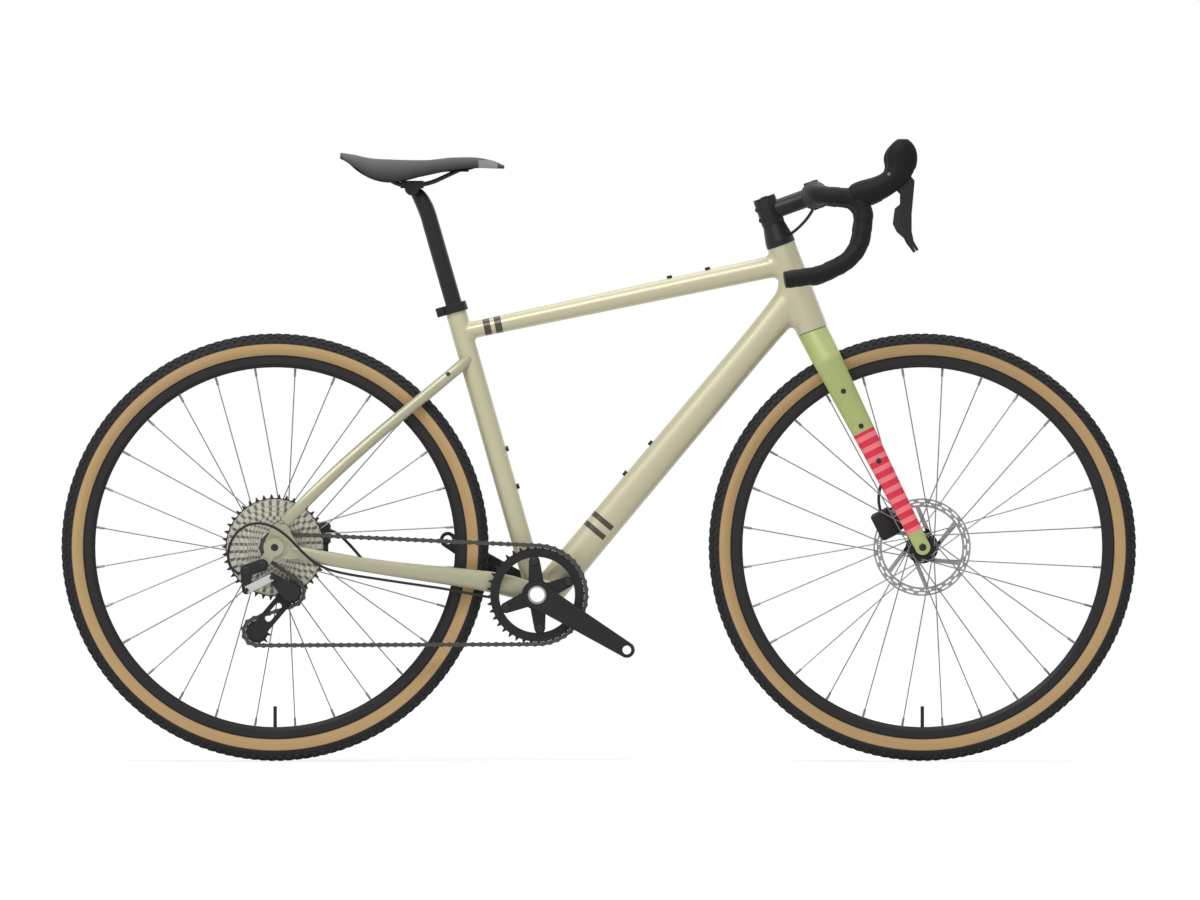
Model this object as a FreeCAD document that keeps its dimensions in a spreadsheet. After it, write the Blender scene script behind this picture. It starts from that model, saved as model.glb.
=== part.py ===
import FreeCAD
import Part
import math
import os
import types
import Sketcher
from FreeCAD import Matrix, Placement, Rotation, Vector

# A drop-bar gravel bike. +X is forward, +Z is up and the drive side is -Y, in millimetres.
# The origin is on the ground, midway between the two axles.

doc = FreeCAD.newDocument("gravel_bike")
sheet = doc.addObject("Spreadsheet::Sheet", "dims")
d = types.SimpleNamespace()
nodes = []


def add_sizes(rows):
    # Each driving size is one cell of the sheet, with its name as alias.
    for name, value in rows.items():
        cell = "A" + str(len(vars(d)) + 1)
        sheet.set(cell, str(value))
        sheet.setAlias(cell, name)
        setattr(d, name, value)
    doc.recompute()
    for name in rows:
        setattr(d, name, float(sheet.get(name)))


def value_of(text):
    return float(sheet.evalExpression(text))


def keep(item, label):
    item.Label = label
    nodes.append(item)
    return item


def shaped(label, shape):
    # A piece whose form no single feature gives, with sizes read from the sheet.
    item = doc.addObject("Part::Feature", label)
    item.Shape = shape
    return keep(item, label)


def origin_plane(body, role):
    return [item for item in body.Origin.OriginFeatures if item.Role == role][0]


def bind_spot(sketch, edge, kind, axis, text):
    # Ties the start of one sketch edge to the sheet, or to an axis where its place is zero.
    if text == "0":
        sketch.addConstraint(Sketcher.Constraint("PointOnObject", edge, 1, axis))
        return
    number = sketch.addConstraint(Sketcher.Constraint(kind, -1, 1, edge, 1, value_of(text)))
    sketch.setExpression("Constraints[" + str(number) + "]", text)


def closed_sketch(body, name, plane, outlines):
    sketch = body.newObject("Sketcher::SketchObject", name)
    sketch.AttachmentSupport = (origin_plane(body, plane), "")
    sketch.MapMode = "FlatFace"
    for outline in outlines:
        spots = [Vector(value_of(right), value_of(up), 0) for right, up in outline]
        first = sketch.GeometryCount
        for start, end in zip(spots, spots[1:] + spots[:1]):
            sketch.addGeometry(Part.LineSegment(start, end))
        for step, (right, up) in enumerate(outline):
            edge = first + step
            following = first + (step + 1) % len(outline)
            sketch.addConstraint(Sketcher.Constraint("Coincident", edge, 2, following, 1))
            bind_spot(sketch, edge, "DistanceX", -2, right)
            bind_spot(sketch, edge, "DistanceY", -1, up)
    return sketch


def turned(label, outlines, place):
    # A lathe piece: outlines of (along, radius) turned about the piece's own X axis.
    body = doc.addObject("PartDesign::Body", label)
    profile = closed_sketch(body, label + "_profile", "XY_Plane", outlines)
    turn = body.newObject("PartDesign::Revolution", label + "_turn")
    turn.Profile = profile
    turn.ReferenceAxis = (profile, ["H_Axis"])
    turn.Angle = 360
    body.Placement = place
    return body


def mirrored(outline):
    # The other half of a lathe profile, so that one half is written.
    return outline + [("-(" + along + ")", radius) for along, radius in reversed(outline)]


def crosswise(body, along_x, up_z):
    # Turns a lathe piece onto a wheel axis: its own X becomes +Y.
    body.Placement = Placement(Vector(0, 0, 0), Rotation(Vector(0, 0, 1), 90))
    body.setExpression("Placement.Base.x", along_x)
    body.setExpression("Placement.Base.z", up_z)
    return body


def rod(start, end, radius):
    return Part.makeCylinder(radius, (end - start).Length, start, end - start)


def cone_rod(start, end, radius_start, radius_end):
    return Part.makeCone(radius_start, radius_end, (end - start).Length, start, end - start)


def sleeve(start, end, radius, bore):
    return rod(start, end, radius).cut(rod(start, end, bore))


def brick(low, high):
    span = high - low
    return Part.makeBox(span.x, span.y, span.z, low)


def plate(outline, y_low, y_high):
    # A flat plate that stands along the bike, from (x, z) corners.
    corners = [Vector(x, y_low, z) for x, z in outline]
    face = Part.Face(Part.makePolygon(corners + corners[:1]))
    return face.extrude(Vector(0, y_high - y_low, 0))


def section(centre, normal, half_tall, half_wide):
    # An oval wire square to a tube, with its width along the bike's Y axis.
    along = Vector(normal).normalize()
    tall = along.cross(Vector(0, 1, 0)).normalize()
    wide = tall.cross(along)
    u = wide * half_wide
    v = tall * half_tall
    frame_of = Matrix(u.x, v.x, along.x, centre.x, u.y, v.y, along.y, centre.y,
                      u.z, v.z, along.z, centre.z, 0, 0, 0, 1)
    return Part.Wire([Part.makeCircle(1).transformGeometry(frame_of).Edges[0]])


def station_wires(stations):
    # Oval wires at (centre, half_tall, half_wide) stations, square to the line through them.
    wires = []
    for number, (centre, half_tall, half_wide) in enumerate(stations):
        before = stations[max(number - 1, 0)][0]
        after = stations[min(number + 1, len(stations) - 1)][0]
        wires.append(section(centre, after - before, half_tall, half_wide))
    return wires


def oval_tube(stations):
    return Part.makeLoft(station_wires(stations), True, False)


def thinned(stations, wall):
    return [(centre, tall - wall, wide - wall) for centre, tall, wide in stations]


def hollow_tube(stations, wall):
    return oval_tube(stations).cut(oval_tube(thinned(stations, wall)))


def route(points, radii):
    # Straight runs joined by tangent arcs: one radius for each inner point.
    edges = []
    start = points[0]
    for before, corner, after, radius in zip(points, points[1:], points[2:], radii):
        back = (before - corner).normalize()
        ahead = (after - corner).normalize()
        half_turn = back.getAngle(ahead) / 2
        setback = radius / math.tan(half_turn)
        first = corner + back * setback
        last = corner + ahead * setback
        inward = (back + ahead).normalize()
        middle = corner + inward * (radius / math.sin(half_turn) - radius)
        if (first - start).Length > d.weld_gap:
            edges.append(Part.LineSegment(start, first).toShape())
        edges.append(Part.Arc(first, middle, last).toShape())
        start = last
    edges.append(Part.LineSegment(start, points[-1]).toShape())
    return Part.Wire(edges)


def pipe(path, radius):
    first = path.Edges[0]
    start = first.valueAt(first.FirstParameter)
    heading = first.tangentAt(first.FirstParameter)
    ring = Part.Wire([Part.makeCircle(radius, start, heading)])
    return path.makePipeShell([ring], True, False)


def roomy_radii(points):
    # The largest tangent arcs that the runs beside each point leave room for.
    radii = []
    for before, corner, after in zip(points, points[1:], points[2:]):
        shorter = min((before - corner).Length, (after - corner).Length)
        half_turn = (before - corner).getAngle(after - corner) / 2
        radii.append(d.run_share * shorter * math.tan(half_turn))
    return radii


def hose(points, radius, name):
    # A cable or hose that the bike holds all the way.
    radii = roomy_radii(points)
    path = route(points, radii)
    body = pipe(path, radius)
    expected = math.pi * radius ** 2 * path.Length
    print(name, "length", round(path.Length, 1), "least radius", round(min(radii), 1),
          "volume share", round(body.Volume / expected, 4))
    return body


def fused(shapes):
    return shapes[0].multiFuse(shapes[1:]).removeSplitter()


def group(shapes):
    return Part.makeCompound(shapes)


def flipped(shape):
    # The same piece on the other side of the bike.
    return shape.mirror(Vector(0, 0, 0), Vector(0, 1, 0))


def turned_about(shape, centre, axis, degrees):
    other = shape.copy()
    other.rotate(centre, axis, degrees)
    return other


common_sizes = {
    "running_gap": 0.06,
    "body_gap": 0.3,
    "fit_gap": 0.05,
    "overrun": 4,
    "weld_gap": 0.01,
    "run_share": 0.45,
}
add_sizes(common_sizes)


# Geometry that every section shares
layout_sizes = {
    "wheelbase": 1062,
    "tyre_radius": 351,
    "tyre_width": 40,
    "chainstay_length": 437,
    "bb_drop": 78,
    "seat_angle": 74,
    "head_angle": 70,
    "fork_offset": 48,
    "axle_to_crown": 398,
    "head_length": 148,
    "crown_gap": 1.2,
    "rear_width": 142,
    "front_width": 100,
    "axle_radius": 6,
}
add_sizes(layout_sizes)

REAR_X = "-dims.wheelbase / 2"
FRONT_X = "dims.wheelbase / 2"
AXLE_Z = "dims.tyre_radius"
rear_axle = Vector(-d.wheelbase / 2, 0, d.tyre_radius)
front_axle = Vector(d.wheelbase / 2, 0, d.tyre_radius)
bb_back = math.sqrt(d.chainstay_length ** 2 - d.bb_drop ** 2)
bb = rear_axle + Vector(bb_back, 0, -d.bb_drop)
seat_up = Vector(-math.cos(math.radians(d.seat_angle)), 0, math.sin(math.radians(d.seat_angle)))
seat_ahead = Vector(seat_up.z, 0, -seat_up.x)
head_up = Vector(-math.cos(math.radians(d.head_angle)), 0, math.sin(math.radians(d.head_angle)))
head_ahead = Vector(head_up.z, 0, -head_up.x)
crown_rise = math.sqrt(d.axle_to_crown ** 2 - d.fork_offset ** 2)
crown = front_axle - head_ahead * d.fork_offset + head_up * crown_rise
head_low = crown + head_up * d.crown_gap
head_top = head_low + head_up * d.head_length
head_turn = Rotation(Vector(1, 0, 0), head_up)


def behind_axle(forward, y, up):
    # A place given from the rear axle.
    return rear_axle + Vector(forward, y, up)


# Frame
frame_sizes = {
    "head_radius_top": 23,
    "head_radius_low": 26,
    "bearing_tall": 7,
    "bearing_ring": 4.5,
    "steerer_radius": 14.3,
    "seat_tube_radius": 17,
    "seat_tube_length": 497,
    "seatpost_radius": 13.6,
    "seat_slit_wide": 1.6,
    "seat_slit_long": 34,
    "bb_shell_radius": 23.5,
    "bb_shell_wide": 68,
    "bb_bore": 20.5,
    "top_tube_seat_drop": 49,
    "top_tube_head_drop": 31,
    "top_tube_tall_rear": 27,
    "top_tube_tall_front": 36,
    "top_tube_wide": 33,
    "down_tube_bb_ahead": 13,
    "down_tube_head_height": 66,
    "down_tube_tall_low": 54,
    "down_tube_tall_head": 50,
    "tube_steps": 4,
    "down_tube_tall_flare": 60,
    "down_flare_share": 0.84,
    "down_tube_wide": 44,
    "tube_wall": 1.6,
    "collar_radius": 20.5,
    "collar_tall": 15,
    "collar_tab_long": 11,
    "collar_tab_half": 6.5,
    "collar_bolt_radius": 2.5,
}
add_sizes(frame_sizes)


def make_head_tube():
    bore = "dims.steerer_radius + dims.bearing_ring + dims.fit_gap"
    lip = "dims.bearing_tall"
    far = "dims.head_length"
    outline = [
        ("0", bore), ("0", "dims.head_radius_low"), (lip, "dims.head_radius_low"),
        (far + " - dims.bearing_tall", "dims.head_radius_top"), (far, "dims.head_radius_top"), (far, bore),
    ]
    return keep(turned("head_tube", [outline], Placement(head_low, head_turn)), "head_tube")


def make_headset_bearings():
    outer = d.steerer_radius + d.bearing_ring
    inner = d.steerer_radius + d.running_gap
    low = sleeve(head_low, head_low + head_up * d.bearing_tall, outer, inner)
    top = sleeve(head_top - head_up * d.bearing_tall, head_top, outer, inner)
    return shaped("headset_bearings", group([low, top]))


def make_bb_shell():
    half = "dims.bb_shell_wide / 2"
    outline = mirrored([("-(" + half + ")", "dims.bb_bore"), ("-(" + half + ")", "dims.bb_shell_radius")])
    body = turned("bb_shell", [outline], Placement())
    middle = "dims.wheelbase / -2 + sqrt(dims.chainstay_length ^ 2 - dims.bb_drop ^ 2)"
    return keep(crosswise(body, middle, "dims.tyre_radius - dims.bb_drop"), "bb_shell")


down_low = bb + Vector(d.down_tube_bb_ahead, 0, 0)
down_high = head_low + head_up * d.down_tube_head_height


def seat_point(height):
    return bb + seat_up * height


def make_seat_tube(bb_block):
    top = seat_point(d.seat_tube_length)
    tube = sleeve(bb, top, d.seat_tube_radius, d.seatpost_radius + d.running_gap)
    slit = brick(Vector(-d.seat_slit_long, -d.seat_slit_wide / 2, -d.collar_radius),
                 Vector(d.overrun, d.seat_slit_wide / 2, 0))
    slit.Placement = Placement(top, Rotation(seat_up, Vector(0, 1, 0), seat_ahead, "XZY"))
    return shaped("seat_tube", tube.cut(bb_block).cut(slit))


def main_tube(start, end, tall_start, tall_end, wide):
    # Even stations keep a lofted tube straight up to its flare.
    stations = []
    for number in range(int(d.tube_steps) + 1):
        share = number / d.tube_steps
        tall = tall_start + (tall_end - tall_start) * share
        stations.append((start + (end - start) * share, tall / 2, wide / 2))
    return stations


def make_main_tubes(head_block, seat_block, bb_block):
    top_rear = seat_point(d.seat_tube_length - d.top_tube_seat_drop)
    top_front = head_top - head_up * d.top_tube_head_drop
    top = hollow_tube(main_tube(top_rear, top_front, d.top_tube_tall_rear, d.top_tube_tall_front,
                                d.top_tube_wide), d.tube_wall)
    slender = down_low + (down_high - down_low) * d.down_flare_share
    down = hollow_tube(main_tube(down_low, slender, d.down_tube_tall_low, d.down_tube_tall_head,
                                 d.down_tube_wide)
                       + [(down_high, d.down_tube_tall_flare / 2, d.down_tube_wide / 2)], d.tube_wall)
    top = top.cut(head_block).cut(seat_block)
    down = down.cut(head_block).cut(bb_block).cut(seat_block).cut(top)
    shaped("top_tube", largest(top))
    shaped("down_tube", largest(down))


def largest(shape):
    # Leaves out the slivers that a mitre cut can leave beside a tube.
    return max(shape.Solids, key=lambda solid: solid.Volume)


def make_collar():
    low = seat_point(d.seat_tube_length - d.collar_tall)
    top = seat_point(d.seat_tube_length)
    ring = rod(low, top, d.collar_radius)
    tab = brick(Vector(0, -d.collar_tab_half, -d.collar_radius - d.collar_tab_long),
                Vector(d.collar_tall, d.collar_tab_half, 0))
    tab.Placement = Placement(low, Rotation(seat_up, Vector(0, 1, 0), seat_ahead, "XZY"))
    tab_middle = (low + top) / 2 - seat_ahead * (d.collar_radius + d.collar_tab_long / 2)
    bolt_half = Vector(0, d.collar_tab_half + d.collar_bolt_radius, 0)
    bolt = rod(tab_middle - bolt_half, tab_middle + bolt_half, d.collar_bolt_radius)
    gap = brick(Vector(-d.overrun, -d.seat_slit_wide / 2, -d.collar_radius - d.collar_tab_long - d.overrun),
                Vector(d.collar_tall + d.overrun, d.seat_slit_wide / 2, 0))
    gap.Placement = tab.Placement
    body = fused([ring, tab]).cut(rod(low, top, d.seat_tube_radius + d.fit_gap)).cut(gap)
    shaped("seat_collar", fused([body, bolt]))


# Rear triangle, placed from the rear axle
rear_sizes = {
    "stay_clear": 5,
    "stay_half_wide": 7,
    "seatstay_seat_drop": 93,
    "seatstay_half_tall": 9.2,
    "seatstay_low_tall": 9.5,
    "seatstay_top_y": 11,
    "seatstay_kink_ahead": 108,
    "seatstay_kink_up": 131,
    "seatstay_kink_y": 58,
    "seatstay_low_ahead": 57,
    "seatstay_low_up": 82,
    "seatstay_foot_ahead": 16,
    "seatstay_foot_up": 40,
    "stay_end_half_wide": 5,
    "chainstay_low_ahead": 57,
    "chainstay_low_drop": 13,
    "chainstay_low_tall": 11.5,
    "chainstay_mid_ahead": 292,
    "chainstay_mid_drop": 48,
    "chainstay_mid_tall": 15,
    "chainstay_front_ahead": 358,
    "chainstay_front_drop": 58,
    "chainstay_front_tall": 17,
    "chainstay_front_y": 30,
    "chainstay_bb_y": 24,
    "chainstay_half_wide": 9,
    "stay_wall": 1.4,
    "dropout_thick": 8,
    "dropout_back": 15,
    "dropout_ahead": 38,
    "dropout_up": 38,
    "dropout_heel_share": 0.65,
    "dropout_toe_share": 0.2,
    "dropout_down": 19,
    "hanger_thick": 6,
    "hanger_back": 20,
    "hanger_down": 29,
    "hanger_radius": 9,
    "hanger_bolt_radius": 4,
    "tyre_share": 0.34,
}
add_sizes(rear_sizes)


def hanger():
    near = -d.rear_width / 2 - d.dropout_thick
    far = near - d.hanger_thick
    top = rod(behind_axle(0, near, 0), behind_axle(0, far, 0), d.axle_radius + d.hanger_radius)
    low = rod(behind_axle(-d.hanger_back, near, -d.hanger_down),
              behind_axle(-d.hanger_back, far, -d.hanger_down), d.hanger_radius)
    reach = Vector(-d.hanger_back, 0, -d.hanger_down)
    beside = Vector(reach.z, 0, -reach.x).normalize() * d.hanger_radius
    corners = [beside, reach + beside, reach - beside, beside * -1]
    web = plate([(rear_axle.x + spot.x, rear_axle.z + spot.z) for spot in corners], far, near)
    axle_hole = rod(behind_axle(0, near + d.overrun, 0), behind_axle(0, far - d.overrun, 0),
                    d.axle_radius + d.fit_gap)
    bolt_hole = rod(behind_axle(-d.hanger_back, near + d.overrun, -d.hanger_down),
                    behind_axle(-d.hanger_back, far - d.overrun, -d.hanger_down),
                    d.hanger_bolt_radius + d.fit_gap)
    return fused([top, low, web]).cut(axle_hole).cut(bolt_hole)


def make_dropouts():
    inner = d.rear_width / 2
    outer = inner + d.dropout_thick
    corners = [
        (-d.dropout_back, -d.dropout_down * d.dropout_heel_share),
        (-d.dropout_back, d.dropout_down * d.dropout_heel_share),
        (0, d.dropout_up), (d.dropout_down, d.dropout_up),
        (d.dropout_ahead, d.dropout_down * d.dropout_toe_share),
        (d.dropout_ahead, -d.dropout_down), (0, -d.dropout_down),
    ]
    outline = [(rear_axle.x + ahead, rear_axle.z + up) for ahead, up in corners]
    axle_hole = rod(behind_axle(0, -outer - d.overrun, 0), behind_axle(0, outer + d.overrun, 0),
                    d.axle_radius + d.fit_gap)
    right = plate(outline, -outer, -inner).cut(axle_hole)
    left = plate(outline, inner, outer).cut(axle_hole)
    shaped("rear_dropouts", group([right, left, hanger()]))
    return right, left


def stay_pair(label, stations, cutters):
    right = oval_tube(stations).cut(oval_tube(thinned(stations, d.stay_wall)))
    for cutter in cutters:
        right = right.cut(cutter)
    right = largest(right)
    shaped(label, group([right, flipped(right)]))
    return right


def make_stays(seat_block, bb_block, right_dropout):
    end_y = -(d.rear_width + d.dropout_thick) / 2
    tyre_y = -(d.tyre_width / 2 + d.stay_clear + d.stay_half_wide)
    top = seat_point(d.seat_tube_length - d.seatstay_seat_drop) + Vector(0, -d.seatstay_top_y, 0)
    kink = behind_axle(d.seatstay_kink_ahead, -d.seatstay_kink_y, d.seatstay_kink_up)
    low = behind_axle(d.seatstay_low_ahead, end_y, d.seatstay_low_up)
    foot = behind_axle(d.seatstay_foot_ahead, end_y, d.seatstay_foot_up)
    beside_tyre = top + (kink - top) * d.tyre_share
    beside_tyre.y = tyre_y
    seatstay = stay_pair("seatstays", [
        (top, d.seatstay_half_tall, d.stay_half_wide),
        (beside_tyre, d.seatstay_half_tall, d.stay_half_wide),
        (kink, d.seatstay_low_tall, d.stay_half_wide),
        (low, d.seatstay_low_tall, d.stay_end_half_wide),
        (foot, d.seatstay_low_tall, d.stay_end_half_wide),
    ], [seat_block, right_dropout])
    mid_y = -(d.tyre_width / 2 + d.stay_clear + d.chainstay_half_wide + d.stay_clear)
    chainstay = stay_pair("chainstays", [
        (behind_axle(d.dropout_down, end_y, -d.chainstay_low_drop / 2), d.chainstay_low_tall,
         d.stay_end_half_wide),
        (behind_axle(d.chainstay_low_ahead, end_y, -d.chainstay_low_drop),
         d.chainstay_low_tall, d.stay_end_half_wide),
        (behind_axle(d.chainstay_mid_ahead, mid_y, -d.chainstay_mid_drop),
         d.chainstay_mid_tall, d.chainstay_half_wide),
        (behind_axle(d.chainstay_front_ahead, -d.chainstay_front_y, -d.chainstay_front_drop),
         d.chainstay_front_tall, d.chainstay_half_wide),
        (bb + Vector(0, -d.chainstay_bb_y, 0), d.chainstay_front_tall, d.chainstay_half_wide),
    ], [bb_block, right_dropout])
    return seatstay, chainstay


def make_frame():
    make_head_tube()
    make_headset_bearings()
    make_bb_shell()
    lip = head_up * d.bearing_tall
    head_block = fused([
        rod(head_low - head_up * d.crown_gap, head_low + lip, d.head_radius_low),
        cone_rod(head_low + lip, head_top - lip, d.head_radius_low, d.head_radius_top),
        rod(head_top - lip, head_top, d.head_radius_top),
    ])
    half_shell = Vector(0, d.bb_shell_wide / 2, 0)
    bb_block = rod(bb - half_shell, bb + half_shell, d.bb_shell_radius)
    seat_block = rod(bb, seat_point(d.seat_tube_length + d.overrun), d.seat_tube_radius)
    make_seat_tube(bb_block)
    make_main_tubes(head_block, seat_block, bb_block)
    make_collar()
    right_dropout, left_dropout = make_dropouts()
    half_cups = Vector(0, d.bb_shell_wide, 0)
    make_stays(seat_block, rod(bb - half_cups, bb + half_cups, d.bb_shell_radius + d.fit_gap),
               right_dropout)


make_frame()


# Wheels: the tyre, rim and hub are lathe pieces about each axle
wheel_sizes = {
    "rim_edge_radius": 313,
    "rim_inner_radius": 295,
    "rim_half": 13,
    "rim_channel_half": 11.6,
    "rim_floor_radius": 307.8,
    "rim_belly_half": 8,
    "rim_wall": 1.8,
    "bead_wall": 2.4,
    "tyre_wall": 2.2,
    "tread_thick": 4,
    "crown_share": 0.15,
    "shoulder_share": 0.36,
    "shoulder_drop": 3.6,
    "sidewall_share": 0.42,
    "sidewall_rise": 6.5,
    "valve_radius": 3,
    "valve_long": 34,
    "spoke_count": 28,
    "spoke_radius": 1,
    "spoke_cross": 3,
    "nipple_radius": 2,
    "nipple_long": 13,
    "nipple_seat": 0.45,
    "spoke_lean_room": 1.2,
    "hub_cap_radius": 9,
    "hub_cap_long": 8,
    "hub_body_radius": 11,
    "hub_waist_radius": 9.5,
    "front_flange_radius": 22,
    "flange_thick": 3,
    "flange_lip": 3,
    "front_flange_right": 32,
    "front_flange_left": 18,
    "rotor_inset": 15,
    "rotor_seat_radius": 16,
    "rotor_seat_long": 9,
    "rear_flange_radius": 22.5,
    "rear_flange_right": 15,
    "rear_flange_left": 33,
    "rear_tube_radius": 8.5,
}
add_sizes(wheel_sizes)


def make_tyre(label, along_x):
    bead = "dims.rim_channel_half - dims.fit_gap"
    bead_radius = "dims.rim_floor_radius + dims.fit_gap"
    wide_radius = "dims.tyre_radius - dims.tyre_width / 2"
    low_radius = "dims.rim_edge_radius + dims.sidewall_rise"
    low_half = "dims.tyre_width * dims.sidewall_share"
    shoulder = "dims.tyre_width * dims.shoulder_share"
    half = [
        ("dims.tyre_width * dims.crown_share", "dims.tyre_radius - dims.tread_thick"),
        (shoulder + " - dims.tyre_wall", "dims.tyre_radius - dims.shoulder_drop - dims.tread_thick"),
        ("dims.tyre_width / 2 - dims.tyre_wall", wide_radius),
        (low_half + " - dims.tyre_wall", low_radius),
        (bead + " - dims.bead_wall", "dims.rim_edge_radius"),
        (bead + " - dims.bead_wall", bead_radius),
        (bead, bead_radius),
        (bead, "dims.rim_edge_radius + dims.fit_gap"),
        (low_half, low_radius),
        ("dims.tyre_width / 2", wide_radius),
        (shoulder, "dims.tyre_radius - dims.shoulder_drop"),
        ("dims.tyre_width * dims.crown_share", "dims.tyre_radius"),
    ]
    body = turned(label, [mirrored(half)], Placement())
    keep(crosswise(body, along_x, AXLE_Z), label)


def make_rim(label, along_x, axle):
    belly = [
        ("dims.rim_belly_half", "dims.rim_inner_radius"),
        ("dims.rim_half", "(dims.rim_inner_radius + dims.rim_floor_radius) / 2"),
        ("dims.rim_half", "dims.rim_edge_radius"),
        ("dims.rim_channel_half", "dims.rim_edge_radius"),
        ("dims.rim_channel_half", "dims.rim_floor_radius"),
    ]
    cavity = [
        ("dims.rim_belly_half - dims.rim_wall / 2", "dims.rim_inner_radius + dims.rim_wall"),
        ("dims.rim_half - dims.rim_wall", "(dims.rim_inner_radius + dims.rim_floor_radius) / 2"),
        ("dims.rim_half - dims.rim_wall", "dims.rim_floor_radius - dims.rim_wall"),
    ]
    hoop = crosswise(turned(label + "_hoop", [mirrored(belly), mirrored(cavity)], Placement()), along_x,
                     AXLE_Z)
    valve = doc.addObject("Part::Cylinder", label + "_valve")
    valve.setExpression("Radius", "dims.valve_radius")
    valve.setExpression("Height", "dims.valve_long")
    valve.Placement.Base = axle
    valve.setExpression("Placement.Base.z", AXLE_Z + " - dims.rim_inner_radius + dims.fit_gap")
    whole = doc.addObject("Part::Compound", label)
    whole.Links = [hoop, valve]
    keep(whole, label)


def make_spokes(label, axle, flange_right, flange_left, hole_radius):
    # Crossed spokes: odd ones pull forward from the outer face, even ones backward from the inner face.
    each_side = int(d.spoke_count / 2)
    step = 360 / each_side
    pieces = []
    for flange_y, outward, lead in ((-flange_right, -1, 0), (flange_left, 1, step / 2)):
        for number in range(each_side):
            pull = 1 if number % 2 else -1
            rim_turn = math.radians(number * step + lead + step / 4)
            hub_turn = rim_turn - pull * math.radians(d.spoke_cross * step)
            lean_room = d.spoke_lean_room if pull > 0 else 0
            face = d.flange_thick / 2 + d.spoke_radius + d.body_gap + lean_room
            hub_y = flange_y + outward * pull * face
            start = axle + Vector(hole_radius * math.cos(hub_turn), hub_y, hole_radius * math.sin(hub_turn))
            reach = d.rim_inner_radius - d.nipple_seat
            end = axle + Vector(reach * math.cos(rim_turn), 0, reach * math.sin(rim_turn))
            collar = end + (start - end).normalize() * d.nipple_long
            wire = rod(start, collar, d.spoke_radius)
            pieces.append(wire.fuse(rod(collar, end, d.nipple_radius)))
    shaped(label, group(pieces))


def make_front_hub():
    bore = "dims.axle_radius + dims.running_gap"
    end = "dims.front_width / 2 - dims.body_gap"
    thick = "dims.flange_thick / 2"
    right = "-dims.front_flange_right"
    left = "dims.front_flange_left"
    rotor = "dims.front_width / 2 - dims.rotor_inset"
    outline = [
        ("-(" + end + ")", bore), ("-(" + end + ")", "dims.hub_cap_radius"),
        (right + " - dims.hub_cap_long", "dims.hub_cap_radius"),
        (right + " - " + thick, "dims.hub_body_radius"),
        (right + " - " + thick, "dims.front_flange_radius"),
        (right + " + " + thick, "dims.front_flange_radius"),
        (right + " + " + thick, "dims.hub_body_radius"),
        ("(" + right + " + " + left + ") / 2", "dims.hub_waist_radius"),
        (left + " - " + thick, "dims.hub_body_radius"), (left + " - " + thick, "dims.front_flange_radius"),
        (left + " + " + thick, "dims.front_flange_radius"),
        (left + " + " + thick, "dims.rotor_seat_radius"),
        (rotor + " + dims.rotor_seat_long / 2", "dims.rotor_seat_radius"),
        (rotor + " + dims.rotor_seat_long / 2", "dims.hub_cap_radius"), (end, "dims.hub_cap_radius"),
        (end, bore),
    ]
    keep(crosswise(turned("front_hub", [outline], Placement()), FRONT_X, AXLE_Z), "front_hub")


def make_rear_hub():
    bore = "dims.axle_radius + dims.running_gap"
    end = "dims.rear_width / 2 - dims.body_gap"
    thick = "dims.flange_thick / 2"
    right = "-dims.rear_flange_right"
    left = "dims.rear_flange_left"
    rotor = "dims.rear_width / 2 - dims.rotor_inset"
    outline = [
        ("-(" + end + ")", bore), ("-(" + end + ")", "dims.rear_tube_radius"),
        (right + " - " + thick, "dims.rear_tube_radius"),
        (right + " - " + thick, "dims.rear_flange_radius"),
        (right + " + " + thick, "dims.rear_flange_radius"), (right + " + " + thick, "dims.hub_body_radius"),
        ("(" + right + " + " + left + ") / 2", "dims.hub_waist_radius"),
        (left + " - " + thick, "dims.hub_body_radius"), (left + " - " + thick, "dims.front_flange_radius"),
        (left + " + " + thick, "dims.front_flange_radius"),
        (left + " + " + thick, "dims.rotor_seat_radius"),
        (rotor + " + dims.rotor_seat_long / 2", "dims.rotor_seat_radius"),
        (rotor + " + dims.rotor_seat_long / 2", "dims.hub_cap_radius"), (end, "dims.hub_cap_radius"),
        (end, bore),
    ]
    keep(crosswise(turned("rear_hub", [outline], Placement()), REAR_X, AXLE_Z), "rear_hub")


# Brake rotors: a braking ring on slanted arms round a carrier, with a lockring outside
rotor_sizes = {
    "rotor_radius": 80,
    "rotor_ring_wide": 14,
    "rotor_thick": 1.8,
    "rotor_carrier_radius": 27,
    "rotor_arm_count": 6,
    "rotor_arm_wide": 7,
    "rotor_arm_slant": 38,
    "lockring_radius": 21,
    "lockring_thick": 3,
}
add_sizes(rotor_sizes)


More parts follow.
